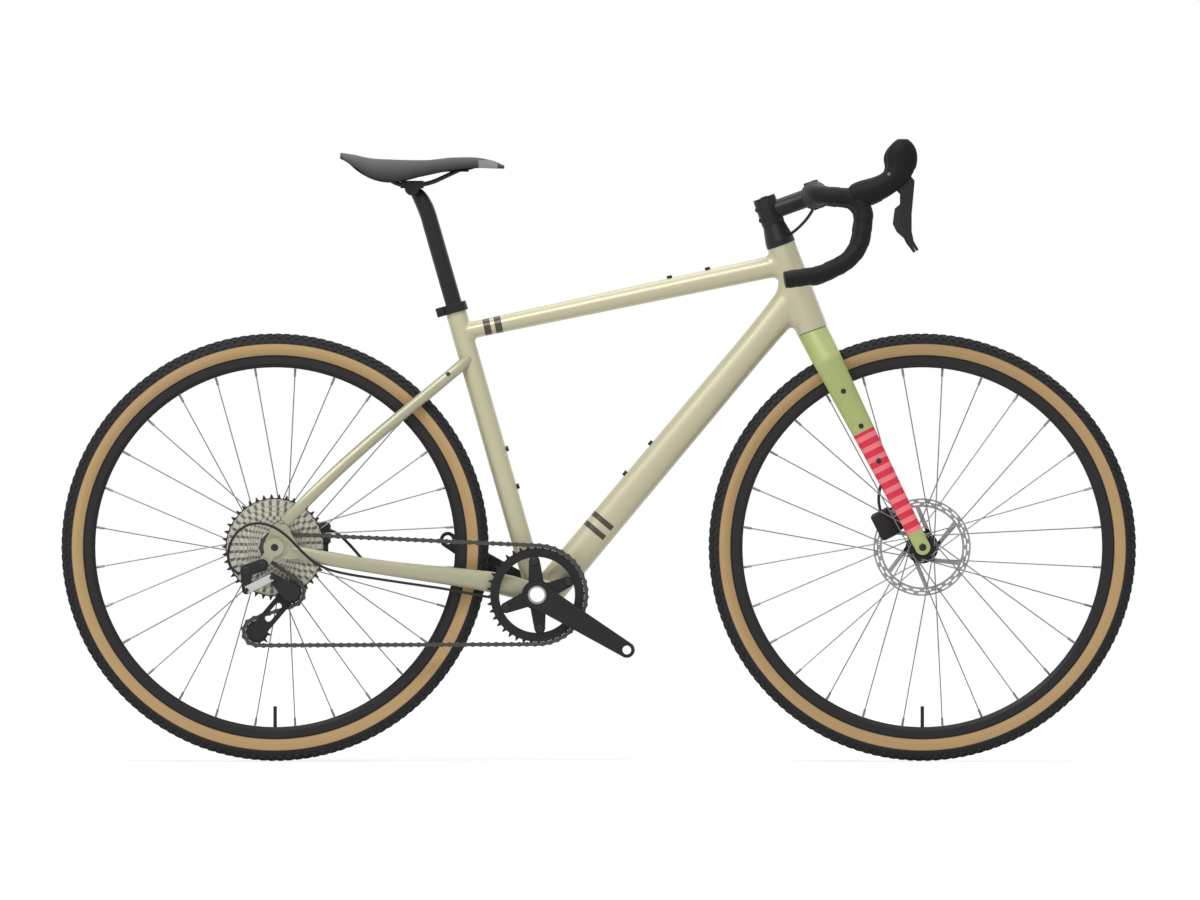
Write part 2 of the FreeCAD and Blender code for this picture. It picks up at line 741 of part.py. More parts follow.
def make_rotor(label, axle, plane_y):
    low = axle + Vector(0, plane_y - d.rotor_thick / 2, 0)
    high = axle + Vector(0, plane_y + d.rotor_thick / 2, 0)
    bore = d.rotor_seat_radius + d.fit_gap
    ring = sleeve(low, high, d.rotor_radius, d.rotor_radius - d.rotor_ring_wide)
    carrier = sleeve(low, high, d.rotor_carrier_radius, bore)
    inner = d.rotor_carrier_radius - d.rotor_arm_wide / 2
    outer = d.rotor_radius - d.rotor_ring_wide / 2
    slant = math.radians(d.rotor_arm_slant)
    end = Vector(outer * math.cos(slant), 0, outer * math.sin(slant))
    start = Vector(inner, 0, 0)
    beside = Vector(-(end - start).z, 0, (end - start).x).normalize() * (d.rotor_arm_wide / 2)
    corners = [start - beside, end - beside, end + beside, start + beside]
    arm = plate([(axle.x + spot.x, axle.z + spot.z) for spot in corners], low.y, high.y)
    count = int(d.rotor_arm_count)
    arms = [turned_about(arm, axle, Vector(0, 1, 0), number * 360 / count) for number in range(count)]
    disc = fused([ring, carrier] + arms)
    lock = sleeve(high, high + Vector(0, d.lockring_thick, 0), d.lockring_radius, bore)
    shaped(label, group([disc, lock]))


def make_axles():
    reach = d.rear_width / 2 + d.dropout_thick
    head = Vector(0, d.hanger_thick, 0)
    right = rear_axle - Vector(0, reach, 0) - head
    left = rear_axle + Vector(0, reach, 0)
    shaft = rod(right, left, d.axle_radius)
    cap = rod(left, left + head, d.axle_radius + d.flange_lip)
    shaped("rear_axle", fused([shaft, cap]))


def make_wheels():
    front_rotor_y = d.front_width / 2 - d.rotor_inset
    rear_rotor_y = d.rear_width / 2 - d.rotor_inset
    make_tyre("front_tyre", FRONT_X)
    make_rim("front_rim", FRONT_X, front_axle)
    make_spokes("front_spokes", front_axle, d.front_flange_right, d.front_flange_left,
                d.front_flange_radius - d.flange_lip)
    make_front_hub()
    make_rotor("front_rotor", front_axle, front_rotor_y)
    make_tyre("rear_tyre", REAR_X)
    make_rim("rear_rim", REAR_X, rear_axle)
    make_spokes("rear_spokes", rear_axle, d.rear_flange_right, d.rear_flange_left,
                d.front_flange_radius - d.flange_lip)
    make_rear_hub()
    make_rotor("rear_rotor", rear_axle, rear_rotor_y)
    make_axles()


make_wheels()


# Drivetrain: one chainring, an eleven-cog cassette and a caged derailleur
drive_sizes = {
    "chain_pitch": 12.7,
    "chainring_teeth": 40,
    "small_cog_teeth": 11,
    "pulley_teeth": 11,
    "chainline": 48,
    "small_cog_y": 62,
    "cog_step": 3.9,
    "cog_thick": 1.5,
    "roller_radius": 3.85,
    "roller_room": 0.2,
    "tooth_gap_half": 2.9,
    "tooth_tip_half": 0.7,
    "tooth_tip_rise": 2.1,
    "pin_radius": 1.8,
    "bush_gap": 0.1,
    "link_inner_half": 1.1,
    "link_plate_thick": 0.7,
    "link_layer_gap": 0.1,
    "link_half_tall": 4.1,
    "link_waist_share": 0.68,
    "chain_straight": 40,
    "pin_overhang": 0.15,
    "freehub_radius": 15.5,
    "freehub_out": 66,
    "cassette_lock_radius": 17.8,
    "guide_ahead": 26,
    "guide_drop": 73.5,
    "cage_long": 85,
    "cage_angle_guess": 231,
    "cage_angle_search": 22,
    "chain_links": 114,
}
add_sizes(drive_sizes)

COG_TEETH = (11, 13, 15, 17, 19, 21, 24, 28, 32, 37, 42)


def pitch_radius(teeth):
    return d.chain_pitch / (2 * math.sin(math.pi / teeth))


def sprocket(teeth, thick, centre, phase):
    # A toothed plate round a Y axis, with a roller seat at the phase angle.
    pitch = pitch_radius(teeth)
    root = pitch - d.roller_radius - d.roller_room
    tip = pitch + d.tooth_tip_rise
    step = 2 * math.pi / teeth
    outline = []
    for number in range(int(teeth)):
        seat = phase + number * step
        for radius, angle in (
            (root, seat - d.tooth_gap_half / root), (root, seat + d.tooth_gap_half / root),
            (tip, seat + step / 2 - d.tooth_tip_half / tip),
            (tip, seat + step / 2 + d.tooth_tip_half / tip),
        ):
            outline.append((centre.x + radius * math.cos(angle), centre.z + radius * math.sin(angle)))
    return plate(outline, centre.y - thick / 2, centre.y + thick / 2)


def flat(point):
    return Vector(point.x, 0, point.z)


def tangent_run(first, second):
    # The straight run between two wheels, each (centre, radius, turn), turn +1 anticlockwise.
    gap = flat(second[0] - first[0])
    lean = math.asin((first[2] * first[1] - second[2] * second[1]) / gap.Length)
    heading = math.atan2(gap.z, gap.x) + lean
    outward = Vector(math.sin(heading), 0, -math.cos(heading))
    start = flat(first[0]) + outward * (first[2] * first[1])
    end = flat(second[0]) + outward * (second[2] * second[1])
    return start, end


class ChainPath:
    # The closed loop of runs and wraps that the rollers follow.
    def __init__(self, wheels):
        self.pieces = []
        self.length = 0
        runs = [tangent_run(wheel, wheels[(number + 1) % len(wheels)])
                for number, wheel in enumerate(wheels)]
        for number, (centre, radius, turn) in enumerate(wheels):
            arrive = runs[number - 1][1] - flat(centre)
            leave = runs[number][0] - flat(centre)
            first = math.atan2(arrive.z, arrive.x)
            sweep = (turn * (math.atan2(leave.z, leave.x) - first)) % (2 * math.pi)
            self.add(radius * sweep, (flat(centre), radius, turn, first), centre.y, centre.y)
            start, end = runs[number]
            after = wheels[(number + 1) % len(wheels)][0]
            self.add((end - start).Length, (start, end), centre.y, after.y)

    def add(self, long, data, y_start, y_end):
        self.pieces.append((self.length, long, data, y_start, y_end))
        self.length += long

    def at(self, travel):
        travel = travel % self.length
        before, long, data, y_start, y_end = [piece for piece in self.pieces if piece[0] <= travel][-1]
        # A run keeps its wheel's line until the teeth are clear, and only then slants across.
        slant = (travel - before - d.chain_straight) / (long - 2 * d.chain_straight)
        across = min(max(slant, 0), 1)
        if len(data) == 2:
            spot = data[0] + (data[1] - data[0]) * ((travel - before) / long)
        else:
            centre, radius, turn, first = data
            angle = first + turn * (travel - before) / radius
            spot = centre + Vector(radius * math.cos(angle), 0, radius * math.sin(angle))
        return Vector(spot.x, y_start + (y_end - y_start) * across, spot.z)

    def next_roller(self, travel):
        # The next place along the loop that lies one pitch away in a straight line.
        here = flat(self.at(travel))
        low = travel + d.chain_pitch / 2
        high = travel + d.chain_pitch * 2
        for _ in range(60):
            middle = (low + high) / 2
            if (flat(self.at(middle)) - here).Length < d.chain_pitch:
                low = middle
            else:
                high = middle
        return low

    def rollers(self):
        travel = [0]
        for _ in range(int(d.chain_links)):
            travel.append(self.next_roller(travel[-1]))
        return travel


ring_centre = bb + Vector(0, -d.chainline, 0)
cog_centre = rear_axle + Vector(0, -d.small_cog_y, 0)
guide_centre = behind_axle(d.guide_ahead, -d.small_cog_y, -d.guide_drop)


def tension_centre(degrees):
    angle = math.radians(degrees)
    return guide_centre + Vector(d.cage_long * math.cos(angle), 0, d.cage_long * math.sin(angle))


def chain_path(degrees):
    return ChainPath([
        (ring_centre, pitch_radius(d.chainring_teeth), -1),
        (tension_centre(degrees), pitch_radius(d.pulley_teeth), -1),
        (guide_centre, pitch_radius(d.pulley_teeth), 1),
        (cog_centre, pitch_radius(d.small_cog_teeth), -1),
    ])


def surplus(degrees):
    path = chain_path(degrees)
    return path.rollers()[-1] - path.length


def taut_cage_angle():
    # The spring holds the cage where the chain just closes on itself.
    low = d.cage_angle_guess - d.cage_angle_search
    high = d.cage_angle_guess + d.cage_angle_search
    low_sign = surplus(low) > 0
    print("chain surplus at the search ends", round(surplus(low), 1), round(surplus(high), 1))
    for _ in range(40):
        middle = (low + high) / 2
        if (surplus(middle) > 0) == low_sign:
            low = middle
        else:
            high = middle
    return low


cage_angle = taut_cage_angle()
loop = chain_path(cage_angle)
roller_spots = [loop.at(travel) for travel in loop.rollers()[:-1]]
tension = tension_centre(cage_angle)
print("cage angle", round(cage_angle, 2), "links", len(roller_spots))


def seat_phase(centre, radius):
    # The angle of the roller that sits deepest in a wheel's wrap.
    def miss(spot):
        return abs((flat(spot) - flat(centre)).Length - radius)
    inside = [spot for spot in roller_spots if miss(spot) < d.weld_gap]
    spot = inside[len(inside) // 2]
    return math.atan2(spot.z - centre.z, spot.x - centre.x)


def link_plate(y_low, y_high):
    half = d.chain_pitch / 2
    tall = d.link_half_tall
    waist = tall * d.link_waist_share
    corners = [Vector(-half, y_low, -tall), Vector(half, y_low, -tall),
               Vector(half, y_low, tall), Vector(-half, y_low, tall)]
    edges = [
        Part.Arc(corners[0], Vector(0, y_low, -waist), corners[1]).toShape(),
        Part.Arc(corners[1], Vector(half + tall, y_low, 0), corners[2]).toShape(),
        Part.Arc(corners[2], Vector(0, y_low, waist), corners[3]).toShape(),
        Part.Arc(corners[3], Vector(-half - tall, y_low, 0), corners[0]).toShape(),
    ]
    return Part.Face(Part.Wire(edges)).extrude(Vector(0, y_high - y_low, 0))


def link_rods(radius, half_long):
    half = d.chain_pitch / 2
    reach = Vector(0, half_long, 0)
    return [rod(Vector(x, 0, 0) - reach, Vector(x, 0, 0) + reach, radius) for x in (-half, half)]


def inner_link():
    near = d.link_inner_half
    far = near + d.link_plate_thick
    solid = fused([link_plate(near, far), link_plate(-far, -near)] + link_rods(d.roller_radius, near))
    for bore in link_rods(d.pin_radius + d.bush_gap, far + d.overrun):
        solid = solid.cut(bore)
    return solid


def outer_link():
    near = d.link_inner_half + d.link_plate_thick + d.link_layer_gap
    far = near + d.link_plate_thick
    return fused([link_plate(near, far), link_plate(-far, -near)] + link_rods(d.pin_radius,
                                                                              far + d.pin_overhang))


def make_chain():
    masters = (inner_link(), outer_link())
    links = []
    for number, start in enumerate(roller_spots):
        end = roller_spots[(number + 1) % len(roller_spots)]
        link = masters[number % 2].copy()
        turn = Rotation(end - start, Vector(0, 1, 0), Vector(0, 0, 1), "XYZ")
        link.Placement = Placement((start + end) / 2, turn)
        links.append(link)
    shaped("chain", group(links))


def make_cassette():
    bore_radius = d.freehub_radius + d.fit_gap
    phase = seat_phase(cog_centre, pitch_radius(d.small_cog_teeth))
    reach = Vector(0, d.freehub_out, 0)
    bore = rod(rear_axle - reach, rear_axle + reach, bore_radius)
    cogs = []
    for number, teeth in enumerate(COG_TEETH):
        centre = cog_centre + Vector(0, number * d.cog_step, 0)
        cogs.append(sprocket(teeth, d.cog_thick, centre, phase).cut(bore))
    spacers = []
    for number in range(len(COG_TEETH) - 1):
        low = cog_centre + Vector(0, number * d.cog_step + d.cog_thick / 2, 0)
        high = low + Vector(0, d.cog_step - d.cog_thick, 0)
        spacers.append(sleeve(low, high, d.cassette_lock_radius, bore_radius))
    outer = cog_centre - Vector(0, d.cog_thick / 2, 0)
    lock = sleeve(rear_axle - reach, outer, d.cassette_lock_radius, bore_radius)
    shaped("cassette", group(cogs + spacers + [lock]))


def make_freehub():
    inner = "dims.rear_tube_radius + dims.running_gap"
    near = "-(dims.rear_flange_right + dims.flange_thick / 2 + dims.body_gap)"
    outline = [("-dims.freehub_out", inner), ("-dims.freehub_out", "dims.freehub_radius"),
               (near, "dims.freehub_radius"), (near, inner)]
    keep(crosswise(turned("freehub_body", [outline], Placement()), REAR_X, AXLE_Z), "freehub_body")


# Cranks
crank_sizes = {
    "crank_long": 172.5,
    "crank_angle": -31.5,
    "spindle_radius": 15,
    "spindle_bore": 12.2,
    "cup_flange": 9,
    "cup_depth": 10,
    "arm_face": 75,
    "arm_thick": 14,
    "arm_root_radius": 21,
    "arm_end_radius": 13,
    "pedal_bore": 7.14,
    "ring_thick": 1.6,
    "ring_inner_radius": 62,
    "ring_bolt_circle": 55,
    "ring_tab_radius": 9,
    "ring_bolt_radius": 4,
    "ring_bolt_head_radius": 6,
    "ring_bolt_head_thick": 2,
    "spider_half_angle": 54,
    "spider_hub_radius": 25,
    "spider_root_radius": 15,
    "spider_thick": 5,
}
add_sizes(crank_sizes)


def bar(start, end, radius_start, radius_end, y_low, y_high):
    # A plate with round ends between two places, seen from the side.
    first = Vector(start.x, y_low, start.z)
    last = Vector(end.x, y_low, end.z)
    across = Vector(0, y_high - y_low, 0)
    beside = Vector(-(last - first).z, 0, (last - first).x).normalize()
    corners = [first + beside * radius_start, last + beside * radius_end,
               last - beside * radius_end, first - beside * radius_start]
    web = plate([(spot.x, spot.z) for spot in corners], y_low, y_high)
    return fused([web, rod(first, first + across, radius_start), rod(last, last + across, radius_end)])


def crank_end(degrees):
    angle = math.radians(degrees)
    return bb + Vector(d.crank_long * math.cos(angle), 0, d.crank_long * math.sin(angle))


def ring_bolt_spots():
    spots = []
    for base in (d.crank_angle, d.crank_angle + 180):
        for lean in (-d.spider_half_angle, d.spider_half_angle):
            angle = math.radians(base + lean)
            spots.append(bb + Vector(math.cos(angle), 0, math.sin(angle)) * d.ring_bolt_circle)
    return spots


def through_y(spot, radius, y_low, y_high):
    return rod(Vector(spot.x, y_low, spot.z), Vector(spot.x, y_high, spot.z), radius)


def make_cranks():
    ring_out = -d.chainline - d.ring_thick / 2
    arm_in = -d.arm_face + d.arm_thick
    pedal = crank_end(d.crank_angle)
    arm = bar(bb, pedal, d.arm_root_radius, d.arm_end_radius, -d.arm_face, arm_in)
    boss = through_y(bb, d.arm_root_radius, arm_in, ring_out)
    spider_in = ring_out - d.spider_thick
    spider = [bar(bb, spot, d.spider_root_radius, d.ring_tab_radius, spider_in, ring_out)
              for spot in ring_bolt_spots()]
    hub = through_y(bb, d.spider_hub_radius, spider_in, ring_out)
    right = fused([arm, boss, hub] + spider)
    right = right.cut(through_y(bb, d.spindle_radius + d.fit_gap, -d.arm_face - d.overrun,
                                ring_out + d.overrun))
    right = right.cut(through_y(pedal, d.pedal_bore, -d.arm_face - d.overrun, arm_in + d.overrun))
    for spot in ring_bolt_spots():
        right = right.cut(through_y(spot, d.ring_bolt_radius + d.fit_gap, spider_in - d.overrun,
                                    ring_out + d.overrun))
    shaped("crank_arm_right", right)
    far = crank_end(d.crank_angle + 180)
    left = bar(bb, far, d.arm_root_radius, d.arm_end_radius, -arm_in, d.arm_face)
    left = left.cut(through_y(bb, d.spindle_radius + d.fit_gap, -arm_in - d.overrun,
                              d.arm_face + d.overrun))
    left = left.cut(through_y(far, d.pedal_bore, -arm_in - d.overrun, d.arm_face + d.overrun))
    shaped("crank_arm_left", left)
    spindle = sleeve(bb - Vector(0, d.arm_face, 0), bb + Vector(0, d.arm_face, 0), d.spindle_radius,
                     d.spindle_bore)
    shaped("crank_spindle", spindle)


def make_chainring():
    phase = seat_phase(ring_centre, pitch_radius(d.chainring_teeth))
    low = -d.chainline - d.ring_thick / 2
    high = -d.chainline + d.ring_thick / 2
    ring = sprocket(d.chainring_teeth, d.ring_thick, ring_centre, phase)
    ring = ring.cut(through_y(bb, d.ring_inner_radius, low - d.overrun, high + d.overrun))
    tabs = [through_y(spot, d.ring_tab_radius, low, high) for spot in ring_bolt_spots()]
    ring = fused([ring] + tabs)
    bolts = []
    for spot in ring_bolt_spots():
        ring = ring.cut(through_y(spot, d.ring_bolt_radius + d.fit_gap, low - d.overrun, high + d.overrun))
        shank = through_y(spot, d.ring_bolt_radius, low - d.spider_thick, high)
        outer = through_y(spot, d.ring_bolt_head_radius, low - d.spider_thick - d.ring_bolt_head_thick,
                          low - d.spider_thick)
        inner = through_y(spot, d.ring_bolt_head_radius, high, high + d.ring_bolt_head_thick / 2)
        bolts.append(fused([shank, outer, inner]))
    shaped("chainring", group([ring] + bolts))


def make_bottom_bracket():
    face = d.bb_shell_wide / 2
    bore = d.spindle_radius + d.running_gap
    inner = bb + Vector(0, face - d.cup_depth, 0)
    lip = bb + Vector(0, face, 0)
    outer = bb + Vector(0, face + d.cup_flange, 0)
    cup = fused([rod(inner, lip, d.bb_bore - d.fit_gap), rod(lip, outer, d.bb_shell_radius)])
    cup = cup.cut(rod(inner, outer, bore))
    other = cup.copy()
    other.rotate(bb, Vector(0, 0, 1), 180)
    shaped("bottom_bracket", group([cup, other]))


# Derailleur
derailleur_sizes = {
    "knuckle_radius": 10,
    "knuckle_near": 86,
    "knuckle_far": 99,
    "knuckle_back": 46,
    "knuckle_drop": 38,
    "link_root_drop": 70,
    "link_tip_back": 4,
    "link_tip_drop": 49,
    "link_arm_radius": 7,
    "arm_knuckle_radius": 15,
    "arm_knuckle_far": 93,
    "cage_pivot_radius": 6,
    "cage_pivot_long": 12,
    "cage_half_gap": 4.6,
    "cage_plate_thick": 2,
    "cage_end_radius": 13.5,
    "cage_window_radius": 5.5,
    "window_top_share": 0.36,
    "window_low_share": 0.66,
    "pivot_bolt_share": 0.62,
    "pivot_bolt_tall": 2,
    "pulley_axle_radius": 2.6,
    "pulley_thick": 2,
    "pulley_hub_radius": 7,
}
add_sizes(derailleur_sizes)


def make_derailleur():
    near = -d.knuckle_near
    far = -d.knuckle_far
    bolt = behind_axle(-d.hanger_back, 0, -d.hanger_down)
    corner = behind_axle(-d.knuckle_back, 0, -d.knuckle_drop)
    root = behind_axle(-d.knuckle_back, 0, -d.link_root_drop)
    tip = behind_axle(-d.link_tip_back, 0, -d.link_tip_drop)
    hanger_near = -d.rear_width / 2 - d.dropout_thick
    plate_out = -d.small_cog_y - d.cage_half_gap - d.cage_plate_thick
    shank = through_y(bolt, d.hanger_bolt_radius, near, hanger_near)
    top = bar(bolt, corner, d.knuckle_radius, d.knuckle_radius, far, near)
    drop = bar(corner, root, d.knuckle_radius, d.link_arm_radius, far, near)
    link = bar(root, tip, d.link_arm_radius, d.link_arm_radius, far, near)
    arm = bar(tip, guide_centre, d.link_arm_radius + d.link_plate_thick, d.arm_knuckle_radius,
              -d.arm_knuckle_far, plate_out - d.body_gap)
    bore = through_y(guide_centre, d.cage_pivot_radius + d.running_gap,
                     plate_out - d.cage_pivot_long - d.body_gap, plate_out + d.overrun)
    bolts = [through_y(spot, radius * d.pivot_bolt_share, far - d.pivot_bolt_tall, far)
             for spot, radius in ((bolt, d.knuckle_radius), (corner, d.knuckle_radius),
                                  (root, d.link_arm_radius), (tip, d.link_arm_radius))]
    shaped("derailleur_body", fused([shank, top, drop, link, arm] + bolts).cut(bore))


def make_cage():
    out_face = -d.small_cog_y - d.cage_half_gap
    in_face = -d.small_cog_y + d.cage_half_gap
    outer = bar(guide_centre, tension, d.cage_end_radius, d.cage_end_radius, out_face - d.cage_plate_thick,
                out_face)
    inner = bar(guide_centre, tension, d.cage_end_radius, d.cage_end_radius, in_face,
                in_face + d.cage_plate_thick)
    axles = [through_y(spot, d.pulley_axle_radius, out_face, in_face) for spot in (guide_centre, tension)]
    stub = through_y(guide_centre, d.cage_pivot_radius, out_face - d.cage_plate_thick - d.cage_pivot_long,
                     out_face)
    run = tension - guide_centre
    window = bar(guide_centre + run * d.window_top_share, guide_centre + run * d.window_low_share,
                 d.cage_window_radius, d.cage_window_radius, out_face - d.overrun, in_face + d.overrun)
    shaped("derailleur_cage", fused([outer, inner, stub] + axles).cut(window))


def make_pulley(label, centre):
    phase = seat_phase(centre, pitch_radius(d.pulley_teeth))
    disc = sprocket(d.pulley_teeth, d.pulley_thick, centre, phase)
    half = d.cage_half_gap - d.body_gap
    hub = through_y(centre, d.pulley_hub_radius, centre.y - half, centre.y + half)
    bore = through_y(centre, d.pulley_axle_radius + d.running_gap, centre.y - d.cage_long,
                     centre.y + d.cage_long)
    shaped(label, fused([disc, hub]).cut(bore))


def make_drive():
    make_chain()
    make_cassette()
    make_freehub()
    make_cranks()
    make_chainring()
    make_bottom_bracket()
    make_derailleur()
    make_cage()
    make_pulley("guide_pulley", guide_centre)
    make_pulley("tension_pulley", tension)


make_drive()


# Fork: steerer and two tapered blades that grow out of a round crown, in one piece
fork_sizes = {
    "steerer_bore": 11.5,
    "crown_radius": 25,
    "steerer_root": 16,
    "blade_shoulder_share": 0.14,
    "blade_middle_share": 0.5,
    "blade_shoulder_y": 38,
    "blade_middle_y": 45,
    "blade_shoulder_half": 23.5,
    "blade_middle_half": 18,
    "blade_tip_half": 12.5,
    "blade_shoulder_wide": 11.5,
    "blade_middle_wide": 9,
    "blade_tip_wide": 5,
    "boss_first": 111,
    "boss_step": 64,
    "boss_radius": 2.5,
    "boss_depth": 12,
    "boss_count": 3,
    "cover_rim_share": 0.25,
    "cover_tall": 38,
    "cover_low_radius": 24,
    "cover_top_radius": 18,
    "stem_clamp_tall": 42,
    "stem_clamp_radius": 19,
    "stem_long": 79,
    "stem_neck_tall": 30,
    "stem_neck_wide": 32,
    "bar_clamp_radius": 15.9,
    "stem_jaw_radius": 20.5,
    "stem_jaw_half": 23,
    "jaw_split": 1.5,
    "stem_bolt_radius": 2.5,
    "stem_bolt_head_radius": 4,
    "stem_bolt_head_tall": 3,
    "jaw_bolt_y": 16,
    "jaw_bolt_rise": 19,
    "jaw_half_tall": 23.5,
    "jaw_face_share": 0.45,
    "jaw_bolt_depth": 20,
    "top_cap_tall": 4,
}
add_sizes(fork_sizes)


def blade_point(share, y):
    spot = crown + (front_axle - crown) * share
    return Vector(spot.x, y, spot.z)


def fork_blade(side_sign):
    # One blade, the leg that spreads from the round crown down to it, and its flat tip.
    tip_y = d.front_width / 2 + d.blade_tip_wide
    wires = station_wires([
        (blade_point(d.blade_shoulder_share, side_sign * d.blade_shoulder_y), d.blade_shoulder_half,
         d.blade_shoulder_wide),
        (blade_point(d.blade_middle_share, side_sign * d.blade_middle_y), d.blade_middle_half,
         d.blade_middle_wide),
        (blade_point(1, side_sign * tip_y), d.blade_tip_half, d.blade_tip_wide),
    ])
    blade = Part.makeLoft(wires, True, False)
    crown_wire = section(crown, -head_up, d.crown_radius, d.crown_radius)
    leg = Part.makeLoft([crown_wire, wires[0]], True, True)
    near = side_sign * d.front_width / 2
    far = near + side_sign * 2 * d.blade_tip_wide
    return [blade, leg, through_y(front_axle, d.blade_tip_half, near, far)]


def boss_holes(side_sign):
    heading = (front_axle - crown).normalize()
    holes = []
    for number in range(int(d.boss_count)):
        along = d.boss_first + number * d.boss_step
        share = along / (front_axle - crown).Length
        y = d.blade_shoulder_y + (d.blade_middle_y - d.blade_shoulder_y) * share / d.blade_middle_share
        spot = crown + heading * along
        holes.append(through_y(spot, d.boss_radius, side_sign * y,
                               side_sign * (y + d.boss_depth + d.overrun)))
    return holes


def make_fork():
    steerer_top = head_top + head_up * (d.cover_tall + d.stem_clamp_tall)
    steerer = rod(crown - head_up * d.steerer_root, steerer_top, d.steerer_radius)
    solid = fused([steerer] + fork_blade(1) + fork_blade(-1))
    solid = solid.cut(rod(crown, steerer_top, d.steerer_bore))
    reach = d.front_width / 2 + 2 * d.blade_tip_wide + d.overrun
    solid = solid.cut(through_y(front_axle, d.axle_radius + d.fit_gap, -reach, reach))
    hub_half = d.front_width / 2
    solid = solid.cut(through_y(front_axle, d.blade_tip_half + d.overrun, -hub_half, hub_half))
    for hole in boss_holes(1) + boss_holes(-1):
        solid = solid.cut(hole)
    shaped("fork", solid)


def make_front_axle():
    reach = d.front_width / 2 + 2 * d.blade_tip_wide
    axle = doc.addObject("Part::Cylinder", "front_axle_rod")
    axle.setExpression("Radius", "dims.axle_radius")
    axle.setExpression("Height", "dims.front_width + 4 * dims.blade_tip_wide")
    axle.Placement = Placement(front_axle - Vector(0, reach, 0), Rotation(Vector(1, 0, 0), -90))
    keep(axle, "front_axle")


def make_headset_cover():
    bore = "dims.steerer_radius + dims.fit_gap"
    outline = [
        ("dims.body_gap", bore), ("dims.body_gap", "dims.cover_low_radius"),
        ("dims.cover_tall * dims.cover_rim_share", "dims.cover_low_radius"),
        ("dims.cover_tall", "dims.cover_top_radius"),
        ("dims.cover_tall", bore),
    ]
    keep(turned("headset_cover", [outline], Placement(head_top, head_turn)), "headset_cover")


# Stem, with a split jaw that clamps the bar
stem_base = head_top + head_up * d.cover_tall
stem_middle = stem_base + head_up * (d.stem_clamp_tall / 2)
bar_middle = stem_middle + head_ahead * d.stem_long


def jaw_bolts():
    spots = []
    for y in (-d.jaw_bolt_y, d.jaw_bolt_y):
        for rise in (-d.jaw_bolt_rise, d.jaw_bolt_rise):
            spots.append(bar_middle + head_up * rise + Vector(0, y, 0))
    return spots


def jaw_bolt(spot, extra):
    face = spot + head_ahead * (d.stem_jaw_radius * d.jaw_face_share)
    shank = rod(face - head_ahead * d.jaw_bolt_depth, face, d.stem_bolt_radius + extra)
    head = rod(face, face + head_ahead * d.stem_bolt_head_tall, d.stem_bolt_head_radius + extra)
    return fused([shank, head])


def make_stem():
    half_jaw = Vector(0, d.stem_jaw_half, 0)
    clamp = rod(stem_base, stem_base + head_up * d.stem_clamp_tall, d.stem_clamp_radius)
    neck = oval_tube([(stem_middle, d.stem_neck_tall / 2, d.stem_neck_wide / 2),
                      (bar_middle, d.stem_neck_tall / 2, d.stem_neck_wide / 2)])
    jaw = rod(bar_middle - half_jaw, bar_middle + half_jaw, d.stem_jaw_radius)
    cheeks = brick(Vector(-d.jaw_half_tall, -d.stem_jaw_half, -d.stem_jaw_radius / 2),
                   Vector(d.jaw_half_tall, d.stem_jaw_half, d.stem_jaw_radius * d.jaw_face_share))
    cheeks.Placement = Placement(bar_middle, Rotation(head_up, Vector(0, 1, 0), head_ahead, "XZY"))
    whole = fused([clamp, neck, jaw, cheeks])
    whole = whole.cut(rod(stem_base, stem_base + head_up * d.stem_clamp_tall, d.steerer_radius + d.fit_gap))
    whole = whole.cut(rod(bar_middle - half_jaw, bar_middle + half_jaw, d.bar_clamp_radius + d.fit_gap))
    for spot in jaw_bolts():
        whole = whole.cut(jaw_bolt(spot, d.fit_gap))
    front = brick(Vector(-d.stem_long, -d.stem_long, 0), Vector(d.stem_long, d.stem_long, d.stem_long))
    front.Placement = cheeks.Placement
    split = front.copy()
    split.Placement = Placement(bar_middle + head_ahead * d.jaw_split, cheeks.Placement.Rotation)
    shaped("stem", whole.cut(front))
    shaped("stem_faceplate", whole.common(split))
    cap_low = stem_base + head_up * d.stem_clamp_tall
    cap = rod(cap_low, cap_low + head_up * d.top_cap_tall, d.stem_clamp_radius - d.body_gap)
    shaped("stem_bolts", group([cap] + [jaw_bolt(spot, 0) for spot in jaw_bolts()]))


# Drop handlebar: corners of one half, given from the clamp
bar_sizes = {
    "bar_radius": 11.9,
    "bar_wall": 2,
    "bar_bulge_half": 36,
    "bar_taper_half": 58,
    "bar_top_half": 205,
    "bar_ramp_ahead": 84,
    "bar_ramp_drop": 7,
    "bar_hook_ahead": 73,
    "bar_hook_drop": 100,
    "bar_hook_y": 213,
    "bar_low_ahead": 8,
    "bar_low_drop": 132,
    "bar_low_y": 224,
    "bar_end_behind": 48,
    "bar_end_drop": 140,
    "bar_end_y": 231,
    "bar_corner_radius": 44,
    "bar_brow_radius": 32,
    "bar_hook_radius": 68,
    "bar_low_radius": 90,
    "tape_radius": 15,
    "tape_start": 66,
    "plug_radius": 14,
    "plug_long": 4,
}
add_sizes(bar_sizes)


def bar_point(ahead, y, drop):
    return bar_middle + Vector(ahead, y, -drop)


def bar_route(start_y, side_sign):
    points = [
        bar_point(0, side_sign * start_y, 0),
        bar_point(0, side_sign * d.bar_top_half, 0),
        bar_point(d.bar_ramp_ahead, side_sign * d.bar_top_half, d.bar_ramp_drop),
        bar_point(d.bar_hook_ahead, side_sign * d.bar_hook_y, d.bar_hook_drop),
        bar_point(d.bar_low_ahead, side_sign * d.bar_low_y, d.bar_low_drop),
        bar_point(-d.bar_end_behind, side_sign * d.bar_end_y, d.bar_end_drop),
    ]
    radii = [d.bar_corner_radius, d.bar_brow_radius, d.bar_hook_radius, d.bar_low_radius]
    return route(points, radii)


